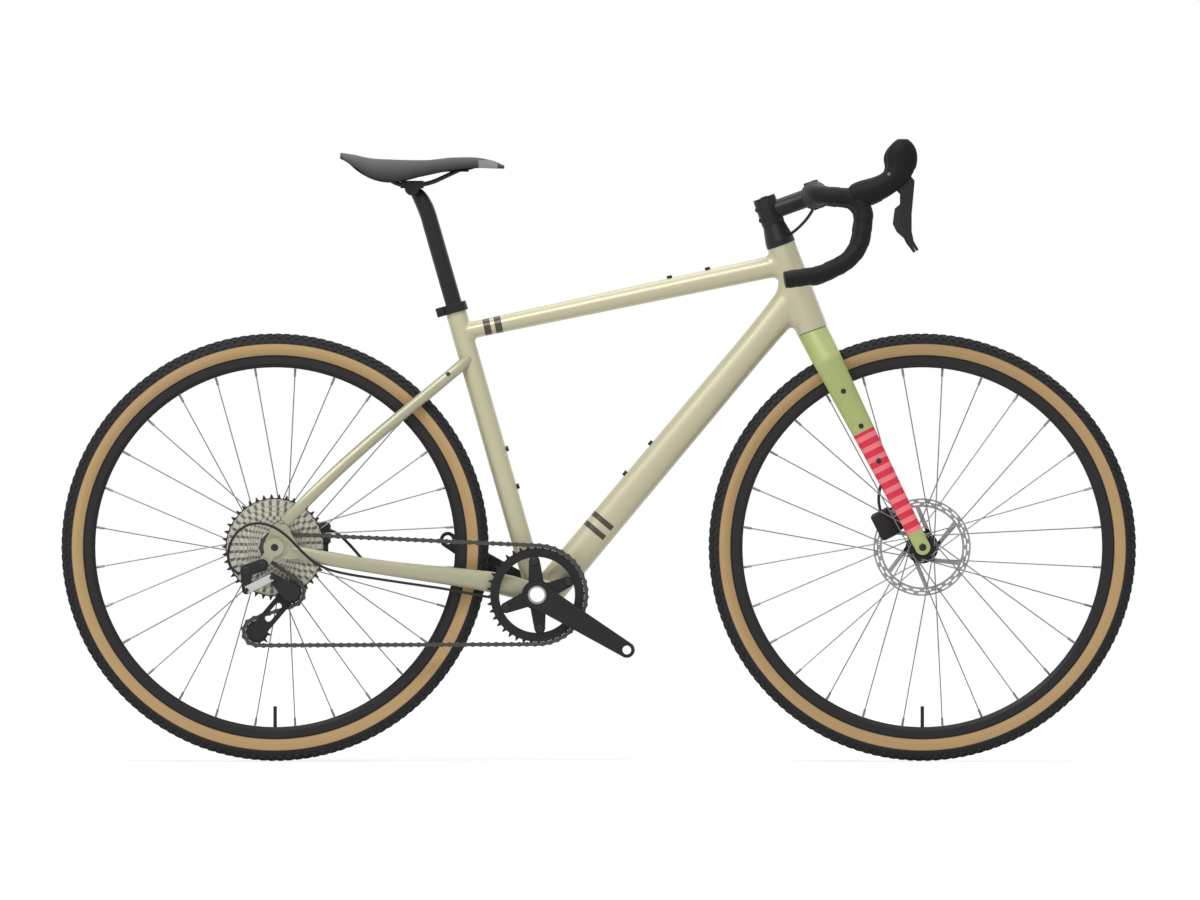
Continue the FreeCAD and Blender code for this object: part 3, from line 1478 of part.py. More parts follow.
def make_handlebar():
    tubes = [pipe(bar_route(0, sign), d.bar_radius) for sign in (-1, 1)]
    bores = [pipe(bar_route(0, sign), d.bar_radius - d.bar_wall) for sign in (-1, 1)]
    flat_half = Vector(0, d.bar_bulge_half, 0)
    taper_half = Vector(0, d.bar_taper_half, 0)
    bulge = rod(bar_middle - flat_half, bar_middle + flat_half, d.bar_clamp_radius)
    tapers = [cone_rod(bar_middle + flat_half * sign, bar_middle + taper_half * sign,
                       d.bar_clamp_radius, d.bar_radius) for sign in (-1, 1)]
    solid = fused(tubes + [bulge] + tapers)
    for bore in bores:
        solid = solid.cut(bore)
    shaped("handlebar", solid)


def make_tape():
    sleeves = []
    for sign in (-1, 1):
        path = bar_route(d.tape_start, sign)
        wrap = pipe(path, d.tape_radius).cut(pipe(path, d.bar_radius + d.fit_gap))
        last = path.Edges[-1]
        end = last.valueAt(last.LastParameter)
        heading = last.tangentAt(last.LastParameter)
        sleeves.append(wrap)
        sleeves.append(rod(end, end + heading * d.plug_long, d.plug_radius))
    shaped("bar_tape", group(sleeves))


# Brake hoods and levers, given from the bar clamp and the lever pivot
hood_sizes = {
    "hood_y": 206,
    "hood_reach": 143,
    "hood_rise": 90,
    "hood_half": 26,
    "hood_wide": 18,
    "pivot_ahead": 126,
    "pivot_rise": 29,
    "lever_long": 120,
    "lever_half_thick": 4.5,
    "lever_root_radius": 9,
    "lever_pin_radius": 3,
    "lever_slot_half": 5.5,
    "lever_pin_share": 0.6,
    "paddle_ahead_share": 0.139,
    "paddle_half_thick": 3,
    "paddle_pin_radius": 1.6,
    "paddle_pin_long": 8,
}
add_sizes(hood_sizes)

# Hood stations as shares of its reach, rise, half height and half width
HOOD_SHARES = (
    (0.42, -0.02, 0.62, 0.85), (0.62, 0.05, 0.80, 0.95), (0.82, 0.19, 0.74, 1.0), (0.96, 0.42, 0.86, 0.95),
    (0.99, 0.70, 0.98, 0.88), (1.0, 0.90, 0.70, 0.72), (1.0, 1.0, 0.30, 0.35),
)
LEVER_SHARES = (
    (0.0, 0.074), (0.20, 0.068), (0.303, -0.06), (0.29, -0.21), (0.262, -0.512), (0.262, -0.744),
    (0.29, -0.88),
    (0.358, -1.0), (0.325, -1.017), (0.222, -0.88), (0.16, -0.744), (0.139, -0.512), (0.139, -0.211),
    (0.0, -0.074),
)
PADDLE_SHARES = ((0.112, -0.37), (0.03, -0.44), (0.003, -0.648), (0.057, -0.757), (0.18, -0.867),
                 (0.125, -0.675))
SLOT_SHARES = ((-0.10, 0.10), (0.6, 0.10), (0.6, -0.6), (-0.10, -0.6))
PADDLE_PIN_SHARE = 0.42

pivot = bar_point(d.pivot_ahead, 0, -d.pivot_rise)


def lever_outline(shares):
    return [(pivot.x + ahead * d.lever_long, pivot.z + up * d.lever_long) for ahead, up in shares]


def make_hoods():
    stations = []
    for ahead, up, tall, wide in HOOD_SHARES:
        centre = bar_point(ahead * d.hood_reach, -d.hood_y, -up * d.hood_rise)
        stations.append((centre, tall * d.hood_half, wide * d.hood_wide))
    hood = oval_tube(stations)
    ramp = Part.Wire(bar_route(d.tape_start, -1).Edges[1:5])
    hood = hood.cut(pipe(ramp, d.tape_radius + d.fit_gap))
    slot = plate(lever_outline(SLOT_SHARES), -d.hood_y - d.lever_slot_half, -d.hood_y + d.lever_slot_half)
    hood = largest(hood.cut(slot))
    pin = through_y(pivot, d.lever_pin_radius, -d.hood_y - d.hood_wide * d.lever_pin_share,
                    -d.hood_y + d.hood_wide * d.lever_pin_share)
    hood = fused([hood, pin])
    shaped("hood_right", hood)
    shaped("hood_left", flipped(hood))


def paddle_pin_line():
    z = pivot.z - PADDLE_PIN_SHARE * d.lever_long
    x = pivot.x + d.paddle_ahead_share * d.lever_long
    return Vector(x, -d.hood_y, z)


def make_levers():
    low = -d.hood_y - d.lever_half_thick
    high = -d.hood_y + d.lever_half_thick
    blade = plate(lever_outline(LEVER_SHARES), low, high)
    lever = fused([blade, through_y(pivot, d.lever_root_radius, low, high)])
    lever = lever.cut(through_y(pivot, d.lever_pin_radius + d.running_gap, low - d.overrun,
                                high + d.overrun))
    shaped("brake_lever_left", flipped(lever))
    seat = paddle_pin_line()
    pin = rod(seat + Vector(d.paddle_pin_radius, 0, 0), seat - Vector(d.paddle_pin_long, 0, 0),
              d.paddle_pin_radius)
    shaped("brake_lever_right", fused([lever, pin]))
    paddle = plate(lever_outline(PADDLE_SHARES), -d.hood_y - d.paddle_half_thick,
                   -d.hood_y + d.paddle_half_thick)
    bore = rod(seat + Vector(d.paddle_pin_long, 0, 0), seat - Vector(d.paddle_pin_long + d.overrun, 0, 0),
               d.paddle_pin_radius + d.running_gap)
    shaped("shift_paddle", paddle.cut(bore))


def make_steering():
    make_fork()
    make_front_axle()
    make_headset_cover()
    make_stem()
    make_handlebar()
    make_tape()
    make_hoods()
    make_levers()


make_steering()


# Seatpost and saddle, given from the rail clamp
seat_sizes = {
    "post_top_height": 676,
    "post_insert": 130,
    "post_wall": 2.4,
    "clamp_back": 14,
    "clamp_height": 694,
    "head_pin_radius": 8.5,
    "head_pin_half": 16,
    "cradle_wall": 3.5,
    "cradle_half": 15,
    "rail_radius": 3.5,
    "rail_y": 22,
    "rail_rise": 5,
    "rail_block_half": 19,
    "rail_nose_ahead": 86,
    "rail_nose_rise": 34,
    "rail_nose_y": 8,
    "rail_bend_ahead": 24,
    "rail_tail_back": 26,
    "rail_end_back": 52,
    "rail_end_rise": 23,
    "rail_end_y": 30,
    "saddle_long": 274,
    "saddle_half_wide": 71,
    "saddle_tall": 39,
    "saddle_back": 121,
    "saddle_rise": 50,
    "cover_thick": 11,
    "least_rise_share": 0.3,
    "cover_edge": 2.5,
    "shell_thick": 2.6,
    "socket_half": 7,
    "neck_bend_share": 0.3,
    "neck_slim_share": 0.93,
}
add_sizes(seat_sizes)

# Saddle stations: along from the tail, crown height, rise of the arch and half width
SADDLE_SHARES = (
    (0.012, 0.21, 0.256, 0.70), (0.078, 0.146, 0.487, 0.93), (0.198, 0.02, 0.897, 1.0),
    (0.335, -0.02, 1.0, 0.90),
    (0.467, -0.033, 0.795, 0.70), (0.635, 0.0, 0.59, 0.42), (0.814, 0.018, 0.46, 0.28),
    (0.934, -0.126, 0.323, 0.24),
    (0.994, -0.315, 0.146, 0.127),
)

rail_clamp = seat_point(d.clamp_height) - Vector(d.clamp_back, 0, 0)


def from_clamp(ahead, y, rise):
    return rail_clamp + Vector(ahead, y, rise)


def post_neck(extra):
    # The forged head that bends back from the post's line to the clamp pin.
    base = seat_point(d.post_top_height - 2 * d.cradle_half)
    root = base - seat_up * d.cradle_half
    bend = seat_point(d.post_top_height) - Vector(d.clamp_back * d.neck_bend_share, 0, 0)
    slim = d.seatpost_radius * d.neck_slim_share
    return oval_tube([
        (root, d.seatpost_radius + extra, d.seatpost_radius + extra),
        (base, d.seatpost_radius + extra, d.seatpost_radius + extra),
        (bend, slim + extra, slim + extra),
        (rail_clamp, d.head_pin_radius - d.cradle_wall / 2 + extra,
         d.head_pin_radius - d.cradle_wall + extra),
    ])


def make_seatpost():
    low = seat_point(d.seat_tube_length - d.post_insert)
    top = seat_point(d.post_top_height - 2 * d.cradle_half)
    post = rod(low, top, d.seatpost_radius)
    pin = through_y(rail_clamp, d.head_pin_radius, -d.head_pin_half, d.head_pin_half)
    solid = pin.fuse(post_neck(0)).fuse(post)
    shaped("seatpost", solid.cut(rod(low, top - seat_up * d.cradle_half, d.seatpost_radius - d.post_wall)))


def rail_path(sign):
    points = [
        from_clamp(d.rail_nose_ahead, sign * d.rail_nose_y, d.rail_nose_rise),
        from_clamp(d.rail_bend_ahead, sign * d.rail_y, d.rail_rise),
        from_clamp(-d.rail_tail_back, sign * d.rail_y, d.rail_rise),
        from_clamp(-d.rail_end_back, sign * d.rail_end_y, d.rail_rise + d.rail_end_rise),
    ]
    return route(points, roomy_radii(points))


def make_seat_clamp(rails):
    # Two cheeks beside the post head, each a ring on its pin and a block round one rail.
    cheeks = []
    for sign in (-1, 1):
        near = sign * (d.head_pin_half - d.cradle_half / 2)
        far = sign * (d.head_pin_half + d.cradle_half)
        ring = through_y(rail_clamp, d.head_pin_radius + d.cradle_wall, near, far)
        block = brick(from_clamp(-d.rail_block_half, min(near, far), 0),
                      from_clamp(d.rail_block_half, max(near, far), d.rail_rise + 2 * d.rail_radius))
        pocket = through_y(rail_clamp, d.head_pin_radius + d.running_gap, near,
                           sign * (d.head_pin_half + d.body_gap))
        cheeks.append(fused([ring, block]).cut(pocket))
    neck_room = post_neck(d.cradle_wall)
    solids = []
    for cheek in cheeks:
        for rail in rails:
            cheek = cheek.cut(rail)
        solids.append(largest(cheek.cut(neck_room)))
    shaped("seat_clamp", group(solids))


def arch(along, crown_z, rise, half, thick, edge):
    # A crescent across the saddle: a crowned arch over a flatter one.
    foot = crown_z - rise
    low_rise = max(rise - thick, rise * d.least_rise_share)
    corners = [Vector(along, -half, foot), Vector(along, half, foot)]
    inner = [Vector(along, half - edge, foot), Vector(along, edge - half, foot)]
    return Part.Wire([
        Part.Arc(corners[0], Vector(along, 0, crown_z), corners[1]).toShape(),
        Part.LineSegment(corners[1], inner[0]).toShape(),
        Part.Arc(inner[0], Vector(along, 0, foot + low_rise), inner[1]).toShape(),
        Part.LineSegment(inner[1], corners[0]).toShape(),
    ])


def saddle_sections(inset, thick, edge):
    wires = []
    for along, crown_share, rise_share, half_share in SADDLE_SHARES:
        x = rail_clamp.x - d.saddle_back + along * d.saddle_long
        crown_z = rail_clamp.z + d.saddle_rise + crown_share * d.saddle_tall
        rise = rise_share * d.saddle_tall
        half = half_share * d.saddle_half_wide
        if inset > 0:
            crown_z = crown_z - rise + max(rise - inset, rise * d.least_rise_share) - d.body_gap
            rise = max(rise - inset, rise * d.least_rise_share)
            half = half - d.cover_edge - d.body_gap
        wires.append(arch(x, crown_z, rise, half, thick, edge))
    return wires


def make_saddle():
    cover = Part.makeLoft(saddle_sections(0, d.cover_thick, d.cover_edge), True, False)
    shell_wires = saddle_sections(d.cover_thick, d.shell_thick, d.shell_thick)
    shell = Part.makeLoft(shell_wires[1:-2], True, False)
    shaped("saddle_cover", cover)
    rails = [pipe(rail_path(sign), d.rail_radius) for sign in (-1, 1)]
    roomy = [pipe(rail_path(sign), d.rail_radius + d.fit_gap) for sign in (-1, 1)]
    sockets = []
    for spot in (from_clamp(d.rail_nose_ahead, 0, d.rail_nose_rise),):
        sockets.append(brick(spot - Vector(d.socket_half, d.socket_half + d.rail_nose_y, d.socket_half),
                             spot + Vector(d.socket_half, d.socket_half + d.rail_nose_y, d.socket_half)))
    for sign in (-1, 1):
        spot = from_clamp(-d.rail_end_back, sign * d.rail_end_y, d.rail_rise + d.rail_end_rise)
        reach = Vector(d.socket_half, d.socket_half, d.socket_half)
        sockets.append(brick(spot - reach, spot + reach))
    base = fused([shell] + sockets).cut(cover)
    for rail in roomy:
        base = base.cut(rail)
    shaped("saddle_shell", largest(base))
    shaped("saddle_rails", group(rails))
    make_seat_clamp(roomy)


# Disc brake calipers: a block across the rotor with two sliding pads
brake_sizes = {
    "caliper_long": 46,
    "caliper_tall": 34,
    "caliper_half": 14,
    "caliper_slot_room": 0.7,
    "caliper_slot_clear": 3,
    "pad_thick": 4,
    "pad_half": 10,
    "pad_room": 0.3,
    "pad_circle": 71,
    "foot_inset": 3,
    "foot_deep": 16,
    "foot_wide": 10,
    "rear_caliper_angle": 20,
    "front_caliper_angle": 31,
}
add_sizes(brake_sizes)


class Caliper:
    # Axes of one caliper: out from the mounting face, along it, and across the rotor.
    def __init__(self, name, axle, along, out, rotor_y, lean):
        self.name = name
        self.axle = axle
        self.along = along
        self.out = out
        self.rotor_y = rotor_y
        angle = math.radians(lean)
        self.middle = (along * math.cos(angle) + out * math.sin(angle)) * d.pad_circle

    def block(self, along_low, along_high, out_low, out_high, y_low, y_high):
        # A box on the caliper's own axes, from the middle of the pads.
        corners = [self.along * along_low + self.out * out_low,
                   self.along * along_high + self.out * out_low,
                   self.along * along_high + self.out * out_high,
                   self.along * along_low + self.out * out_high]
        base = self.axle + self.middle
        outline = [(base.x + spot.x, base.z + spot.z) for spot in corners]
        return plate(outline, self.rotor_y + y_low, self.rotor_y + y_high)

    def pad(self, sign):
        near = sign * (d.rotor_thick / 2 + d.pad_room)
        far = near + sign * d.pad_thick
        return self.block(-d.pad_half, d.pad_half, -d.pad_half, d.pad_half, min(near, far), max(near, far))

    def make(self, seat, foot_low, foot_high, foot_reach):
        half_long = d.caliper_long / 2
        half_tall = d.caliper_tall / 2
        main = self.block(-half_long, half_long, -half_tall, half_tall, -d.caliper_half, d.caliper_half)
        foot = self.block(d.foot_inset - half_long, half_long - d.foot_inset, -half_tall - foot_reach,
                          half_tall / 2,
                          foot_low, foot_high)
        slot_half = d.rotor_thick / 2 + d.caliper_slot_room
        slot = through_y(self.axle, d.rotor_radius + d.caliper_slot_clear, self.rotor_y - slot_half,
                         self.rotor_y + slot_half)
        deep = d.rotor_thick / 2 + d.pad_room * 2 + d.pad_thick
        room = d.pad_half + d.pad_room
        cavity = self.block(-room, room, -room, room, -deep, deep)
        body = fused([main, foot]).cut(slot).cut(cavity).cut(seat)
        shaped(self.name + "_caliper", largest(body))
        shaped(self.name + "_pad_outer", self.pad(1))
        shaped(self.name + "_pad_inner", self.pad(-1))


def node_shape(label):
    return [item for item in nodes if item.Label == label][0].Shape


def make_brakes():
    rear_y = d.rear_width / 2 - d.rotor_inset
    rear = Caliper("rear", rear_axle, Vector(1, 0, 0), Vector(0, 0, 1), rear_y, d.rear_caliper_angle)
    rear.make(node_shape("chainstays"), d.foot_inset * 2, d.caliper_half + d.foot_inset, d.foot_deep)
    up_blade = (crown - front_axle).normalize()
    behind = Vector(-up_blade.z, 0, up_blade.x)
    front_y = d.front_width / 2 - d.rotor_inset
    front = Caliper("front", front_axle, up_blade, behind, front_y, d.front_caliper_angle)
    front.make(fork_blade(1)[0], d.foot_wide, d.caliper_half + d.foot_wide, d.foot_wide)
    return rear, front


# Hoses and housing that the bike holds all the way
hose_sizes = {
    "hose_radius": 2.5,
    "housing_radius": 2.2,
    "hose_route": 100,
}
add_sizes(hose_sizes)

# Shares of the route length from the rear axle: forward, sideways and up
REAR_HOSE_SHARES = (
    (0.88, 0.58, 0.28), (1.01, 0.59, 0.24), (1.16, 0.61, 0.1), (1.31, 0.62, -0.06), (1.44, 0.61, -0.22),
)
HOUSING_SHARES = (
    (3.52, -0.33, -0.82), (2.92, -0.42, -0.7), (2.3, -0.51, -0.61), (1.7, -0.6, -0.52),
    (1.24, -0.67, -0.45),
    (0.88, -0.74, -0.37), (0.63, -0.84, -0.24), (0.42, -0.92, -0.04), (0.2, -0.95, 0.2),
    (-0.06, -0.95, 0.37),
    (-0.34, -0.95, 0.41), (-0.58, -0.94, 0.3), (-0.73, -0.93, 0.08), (-0.77, -0.93, -0.17),
    (-0.71, -0.925, -0.36), (-0.57, -0.925, -0.44),
)
# From the bar clamp: ahead, sideways and up
BAR_HOSE_SHARES = (
    (0, -0.665, -0.149), (-0.01, -0.52, -0.2), (-0.07, -0.33, -0.32), (-0.2, -0.18, -0.48),
    (-0.36, -0.09, -0.62),
    (-0.46, -0.05, -0.68),
)
# From the front axle: up the blade, behind it and sideways
FRONT_HOSE_SHARES = (
    (1.28, 0.06, 0.45), (1.2, 0.16, 0.43), (1.08, 0.25, 0.4), (0.96, 0.31, 0.37), (0.84, 0.34, 0.36),
)


def hose_spots(shares):
    return [Vector(*share) * d.hose_route for share in shares]


def make_hoses(front):
    rear_points = [behind_axle(*spot) for spot in hose_spots(REAR_HOSE_SHARES)]
    rear = hose(rear_points, d.hose_radius, "rear brake hose").cut(node_shape("rear_caliper"))
    rear = largest(rear.cut(node_shape("chainstays")))
    housing_points = [behind_axle(*spot) for spot in hose_spots(HOUSING_SHARES)]
    housing = hose(housing_points, d.housing_radius, "derailleur housing").cut(node_shape("chainstays"))
    housing = largest(housing.cut(node_shape("derailleur_body")).cut(node_shape("bb_shell")))
    shaped("frame_hoses", group([rear, housing]))
    bar_points = [bar_middle + spot for spot in hose_spots(BAR_HOSE_SHARES)]
    bar_hose = hose(bar_points, d.hose_radius, "bar hose").cut(node_shape("headset_cover"))
    bar_hose = largest(bar_hose.cut(node_shape("handlebar")).cut(node_shape("bar_tape")))
    blade_points = []
    for along, behind, y in hose_spots(FRONT_HOSE_SHARES):
        spot = front.axle + front.along * along + front.out * behind
        blade_points.append(Vector(spot.x, y, spot.z))
    blade_hose = hose(blade_points, d.hose_radius, "front brake hose").cut(node_shape("front_caliper"))
    blade_hose = largest(blade_hose.cut(fork_blade(1)[0]))
    shaped("front_hoses", group([bar_hose, flipped(bar_hose), blade_hose]))


# Bolts that fill the bottle and bag bosses
bolt_sizes = {
    "boss_bolt_radius": 4.5,
    "boss_bolt_tall": 3,
    "seat_boss_low": 180,
    "seat_boss_high": 244,
    "down_boss_low": 237,
    "down_boss_high": 302,
    "top_boss_low": 352,
    "top_boss_high": 416,
}
add_sizes(bolt_sizes)


def boss_bolt(surface, normal):
    start = surface + normal * d.fit_gap
    return rod(start, start + normal * d.boss_bolt_tall, d.boss_bolt_radius)


def tube_crest(tube, middle, up):
    # The place where a line up from a tube's middle leaves its outer skin.
    far = middle + up * (d.down_tube_tall_flare * 2)
    probe = Part.makeLine(middle, far).common(tube)
    spots = [vertex.Point for vertex in probe.Vertexes]
    return max(spots, key=lambda spot: (spot - middle).dot(up))


def make_frame_bolts():
    bolts = []
    for height in (d.seat_boss_low, d.seat_boss_high):
        bolts.append(boss_bolt(seat_point(height) + seat_ahead * d.seat_tube_radius, seat_ahead))
    for tube, low, high, heights in (
        ("down_tube", down_low, down_high, (d.down_boss_low, d.down_boss_high)),
        ("top_tube", seat_point(d.seat_tube_length - d.top_tube_seat_drop),
         head_top - head_up * d.top_tube_head_drop,
         (d.top_boss_low, d.top_boss_high)),
    ):
        along = (high - low).normalize()
        up = Vector(-along.z, 0, along.x)
        for height in heights:
            crest = tube_crest(node_shape(tube), low + along * height, up)
            lean = tube_crest(node_shape(tube), low + along * (height + d.boss_bolt_radius), up) - crest
            bolts.append(boss_bolt(crest, Vector(-lean.z, 0, lean.x).normalize()))
    shaped("frame_bolts", group(bolts))


make_seatpost()
make_saddle()
rear_brake, front_brake = make_brakes()
make_hoses(front_brake)
make_frame_bolts()


# Every piece is checked before any file is written
doc.recompute()
for item in doc.Objects:
    if "Invalid" in item.State or "Error" in item.State:
        raise RuntimeError(item.Name + " failed: " + str(item.State))
for item in nodes:
    if item.Shape.isNull() or not item.Shape.isValid() or not item.Shape.Solids:
        raise RuntimeError(item.Label + " has no valid solid")
os.makedirs("parts", exist_ok=True)
for item in nodes:
    item.Shape.exportStep("parts/" + item.Label + ".step")
print(len(nodes), "pieces written")
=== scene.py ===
import math

import bmesh
import bpy
from mathutils import Matrix, Vector
from mathutils.bvhtree import BVHTree


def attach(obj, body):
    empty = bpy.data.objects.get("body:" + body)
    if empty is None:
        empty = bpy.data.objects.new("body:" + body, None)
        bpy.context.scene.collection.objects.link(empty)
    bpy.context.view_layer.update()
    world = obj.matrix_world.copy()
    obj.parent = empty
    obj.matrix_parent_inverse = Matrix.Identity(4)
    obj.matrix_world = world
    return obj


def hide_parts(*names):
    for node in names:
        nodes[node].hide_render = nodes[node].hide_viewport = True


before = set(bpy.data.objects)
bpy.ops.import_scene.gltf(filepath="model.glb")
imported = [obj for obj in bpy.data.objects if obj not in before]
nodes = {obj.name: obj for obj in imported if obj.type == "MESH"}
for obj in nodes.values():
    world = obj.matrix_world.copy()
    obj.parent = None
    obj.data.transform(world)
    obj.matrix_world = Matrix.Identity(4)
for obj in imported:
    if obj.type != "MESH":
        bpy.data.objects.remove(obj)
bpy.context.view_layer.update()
mm = 0.001
scene = bpy.context.scene
print("stage: frame loaded with", len(nodes), "nodes")

# Places on the bike that several pieces share, in millimetres
rearAxle = Vector((-531, 0, 351))
frontAxle = Vector((531, 0, 351))
bottomBracket = Vector((-101.02, 0, 273))
seatUp = Vector((-0.27564, 0, 0.96126))
seatAhead = Vector((0.96126, 0, 0.27564))
headUp = Vector((-0.34202, 0, 0.93969))
headAhead = Vector((0.93969, 0, 0.34202))
crown = Vector((350.77, 0, 705.85))
headTop = Vector((299.74, 0, 846.05))
barMiddle = Vector((353.80, 0, 928.51))
railClamp = Vector((-306.31, 0, 940.11))
sideways = Vector((0, 1, 0))
bothSides = (-sideways, sideways)  # the drive side first
tubeEnds = {"topUpSeat": 448, "topBelowHead": 31, "downAhead": 13, "downUpHead": 67.2}
topTubeRear = bottomBracket + seatUp * tubeEnds["topUpSeat"]
topTubeFront = headTop - headUp * tubeEnds["topBelowHead"]
downTubeLow = bottomBracket + Vector((tubeEnds["downAhead"], 0, 0))
downTubeHigh = crown + headUp * tubeEnds["downUpHead"]
legDown = (frontAxle - crown).normalized()
rearCentre = rearAxle * mm
frontCentre = frontAxle * mm


# Node helpers
def startGroup(name, inputs, outputs, tree="ShaderNodeTree"):
    group = bpy.data.node_groups.new(name, tree)
    for label, kind in inputs:
        group.interface.new_socket(name=label, in_out="INPUT", socket_type=kind)
    for label, kind in outputs:
        group.interface.new_socket(name=label, in_out="OUTPUT", socket_type=kind)
    return group, group.nodes.new("NodeGroupInput"), group.nodes.new("NodeGroupOutput")


def addNode(tree, kind, settings=(), links=()):
    node = tree.nodes.new(kind)
    for label, value in settings:
        if isinstance(label, str) and hasattr(node, label):
            setattr(node, label, value)
        else:
            node.inputs[label].default_value = value
    for socket, source in links:
        tree.links.new(source, node.inputs[socket])
    return node


def addMath(tree, operation, first, second=0.0, third=0.0):
    node = tree.nodes.new("ShaderNodeMath")
    node.operation = operation
    for spot, value in enumerate((first, second, third)):
        if isinstance(value, (int, float)):
            node.inputs[spot].default_value = value
        else:
            tree.links.new(value, node.inputs[spot])
    return node.outputs[0]


def objectPlace(tree):
    return addNode(tree, "ShaderNodeTexCoord").outputs["Object"]


# Camera and studio
view = {"distance": 45.0, "aimX": 0.0021, "aimZ": 0.5105, "wide": 1.9692, "sensor": 36, "far": 120}
cameraData = bpy.data.cameras.new("camera")
cameraData.sensor_fit = "HORIZONTAL"
cameraData.sensor_width = view["sensor"]
cameraData.lens = view["sensor"] * view["distance"] / view["wide"]
cameraData.clip_end = view["far"]
camera = bpy.data.objects.new("camera", cameraData)
camera.location = (view["aimX"], -view["distance"], view["aimZ"])
camera.rotation_euler = (math.pi / 2, 0, 0)
scene.collection.objects.link(camera)
scene.camera = camera
scene.view_settings.view_transform = "Standard"

studio = {
    "ambient": 0.45, "floorHalf": 24, "floorTint": (0.92, 0.92, 0.92, 1), "floorRough": 0.9,
    "floorGlow": 1.1, "floorShare": 0.38, "shadowNear": 1.2, "shadowFar": 3.0,
}
softboxes = {
    "keyLight": {"place": (-1.2, -2.6, 3.4), "aim": (0, 0, 0.5), "size": (2.6, 1.6), "power": 112},
    "topLight": {"place": (0.4, 0.6, 3.6), "aim": (0, 0, 0.4), "size": (3.2, 2.0), "power": 48},
    "fillLight": {"place": (1.6, 3.0, 2.2), "aim": (0, 0, 0.5), "size": (2.4, 1.6), "power": 22},
}


def seenDirectly(tree):
    # 1 for rays from the camera or off a shiny surface, 0 for the rays that spread light
    path = addNode(tree, "ShaderNodeLightPath")
    shiny = addMath(tree, "MAXIMUM", path.outputs["Is Glossy Ray"], path.outputs["Is Transmission Ray"])
    return addMath(tree, "MAXIMUM", path.outputs["Is Camera Ray"], shiny)


def makeWorld():
    # White to look at, dimmer as a light
    world = bpy.data.worlds.new("studio")
    world.use_nodes = True
    tree = world.node_tree
    background = tree.nodes["Background"]
    background.inputs["Color"].default_value = (1, 1, 1, 1)
    strength = addMath(tree, "MULTIPLY_ADD", seenDirectly(tree), 1 - studio["ambient"], studio["ambient"])
    tree.links.new(strength, background.inputs["Strength"])
    scene.world = world


def makeSoftbox(name, place, aim, size, power):
    data = bpy.data.lights.new(name, "AREA")
    data.shape = "RECTANGLE"
    data.size = size[0]
    data.size_y = size[1]
    data.energy = power
    lamp = bpy.data.objects.new(name, data)
    lamp.location = place
    lamp.rotation_euler = (Vector(aim) - Vector(place)).to_track_quat("-Z", "Y").to_euler()
    scene.collection.objects.link(lamp)


def makeFloor():
    half = studio["floorHalf"]
    corners = [(-half, -half, 0), (half, -half, 0), (half, half, 0), (-half, half, 0)]
    mesh = bpy.data.meshes.new("floor")
    mesh.from_pydata(corners, [], [(0, 1, 2, 3)])
    finish = bpy.data.materials.new("floorPale")
    finish.use_nodes = True
    tree = finish.node_tree
    shader = tree.nodes["Principled BSDF"]
    shader.inputs["Base Color"].default_value = studio["floorTint"]
    shader.inputs["Roughness"].default_value = studio["floorRough"]
    glow = addNode(tree, "ShaderNodeEmission", [("Strength", studio["floorGlow"])])
    # The glow takes over away from the bike, so that only the floor near it shows a shadow
    away = addNode(tree, "ShaderNodeVectorMath", [("operation", "LENGTH")], [(0, objectPlace(tree))])
    reach = [("From Min", studio["shadowNear"]), ("From Max", studio["shadowFar"]),
             ("To Min", studio["floorShare"])]
    fade = addNode(tree, "ShaderNodeMapRange", reach, [("Value", away.outputs["Value"])])
    share = addMath(tree, "MULTIPLY", seenDirectly(tree), fade.outputs["Result"])
    sources = [(0, share), (1, shader.outputs[0]), (2, glow.outputs[0])]
    both = addNode(tree, "ShaderNodeMixShader", (), sources)
    tree.links.new(both.outputs[0], tree.nodes["Material Output"].inputs["Surface"])
    mesh.materials.append(finish)
    floor = bpy.data.objects.new("floor", mesh)
    scene.collection.objects.link(floor)


makeWorld()
for label, box in softboxes.items():
    makeSoftbox(label, **box)
makeFloor()
print("stage: studio ready")

# Shared shader groups
grainMix = {"coarseDetail": 4.0, "fineDetail": 2.0, "fineTimes": 6.3, "coarseShare": 0.55, "fineShare": 0.45,
            "middle": 0.5}


def makeGrain():
    # Two sizes of noise that vary a finish's colour and roughness and give its bump
    floatKind = "NodeSocketFloat"
    group, given, result = startGroup(
        "grain",
        [("Tint", "NodeSocketColor"), ("Scale", floatKind), ("Spread", floatKind), ("Rough", floatKind),
         ("RoughSpread", floatKind)],
        [("Color", "NodeSocketColor"), ("Roughness", floatKind), ("Height", floatKind)])
    spot = objectPlace(group)
    coarse = addNode(group, "ShaderNodeTexNoise", [("Detail", grainMix["coarseDetail"])],
                     [("Vector", spot), ("Scale", given.outputs["Scale"])])
    fineScale = addMath(group, "MULTIPLY", given.outputs["Scale"], grainMix["fineTimes"])
    fine = addNode(group, "ShaderNodeTexNoise", [("Detail", grainMix["fineDetail"])],
                   [("Vector", spot), ("Scale", fineScale)])
    coarsePart = addMath(group, "MULTIPLY", coarse.outputs["Fac"], grainMix["coarseShare"])
    both = addMath(group, "MULTIPLY_ADD", fine.outputs["Fac"], grainMix["fineShare"], coarsePart)
    offset = addMath(group, "SUBTRACT", both, grainMix["middle"])
    gain = addMath(group, "MULTIPLY_ADD", offset, given.outputs["Spread"], 1.0)
    tinted = addNode(group, "ShaderNodeVectorMath", [("operation", "SCALE")],
                     [(0, given.outputs["Tint"]), ("Scale", gain)])
    rough = addMath(group, "MULTIPLY_ADD", offset, given.outputs["RoughSpread"], given.outputs["Rough"])
    group.links.new(tinted.outputs[0], result.inputs["Color"])
    group.links.new(rough, result.inputs["Roughness"])
    group.links.new(fine.outputs["Fac"], result.inputs["Height"])
    return group


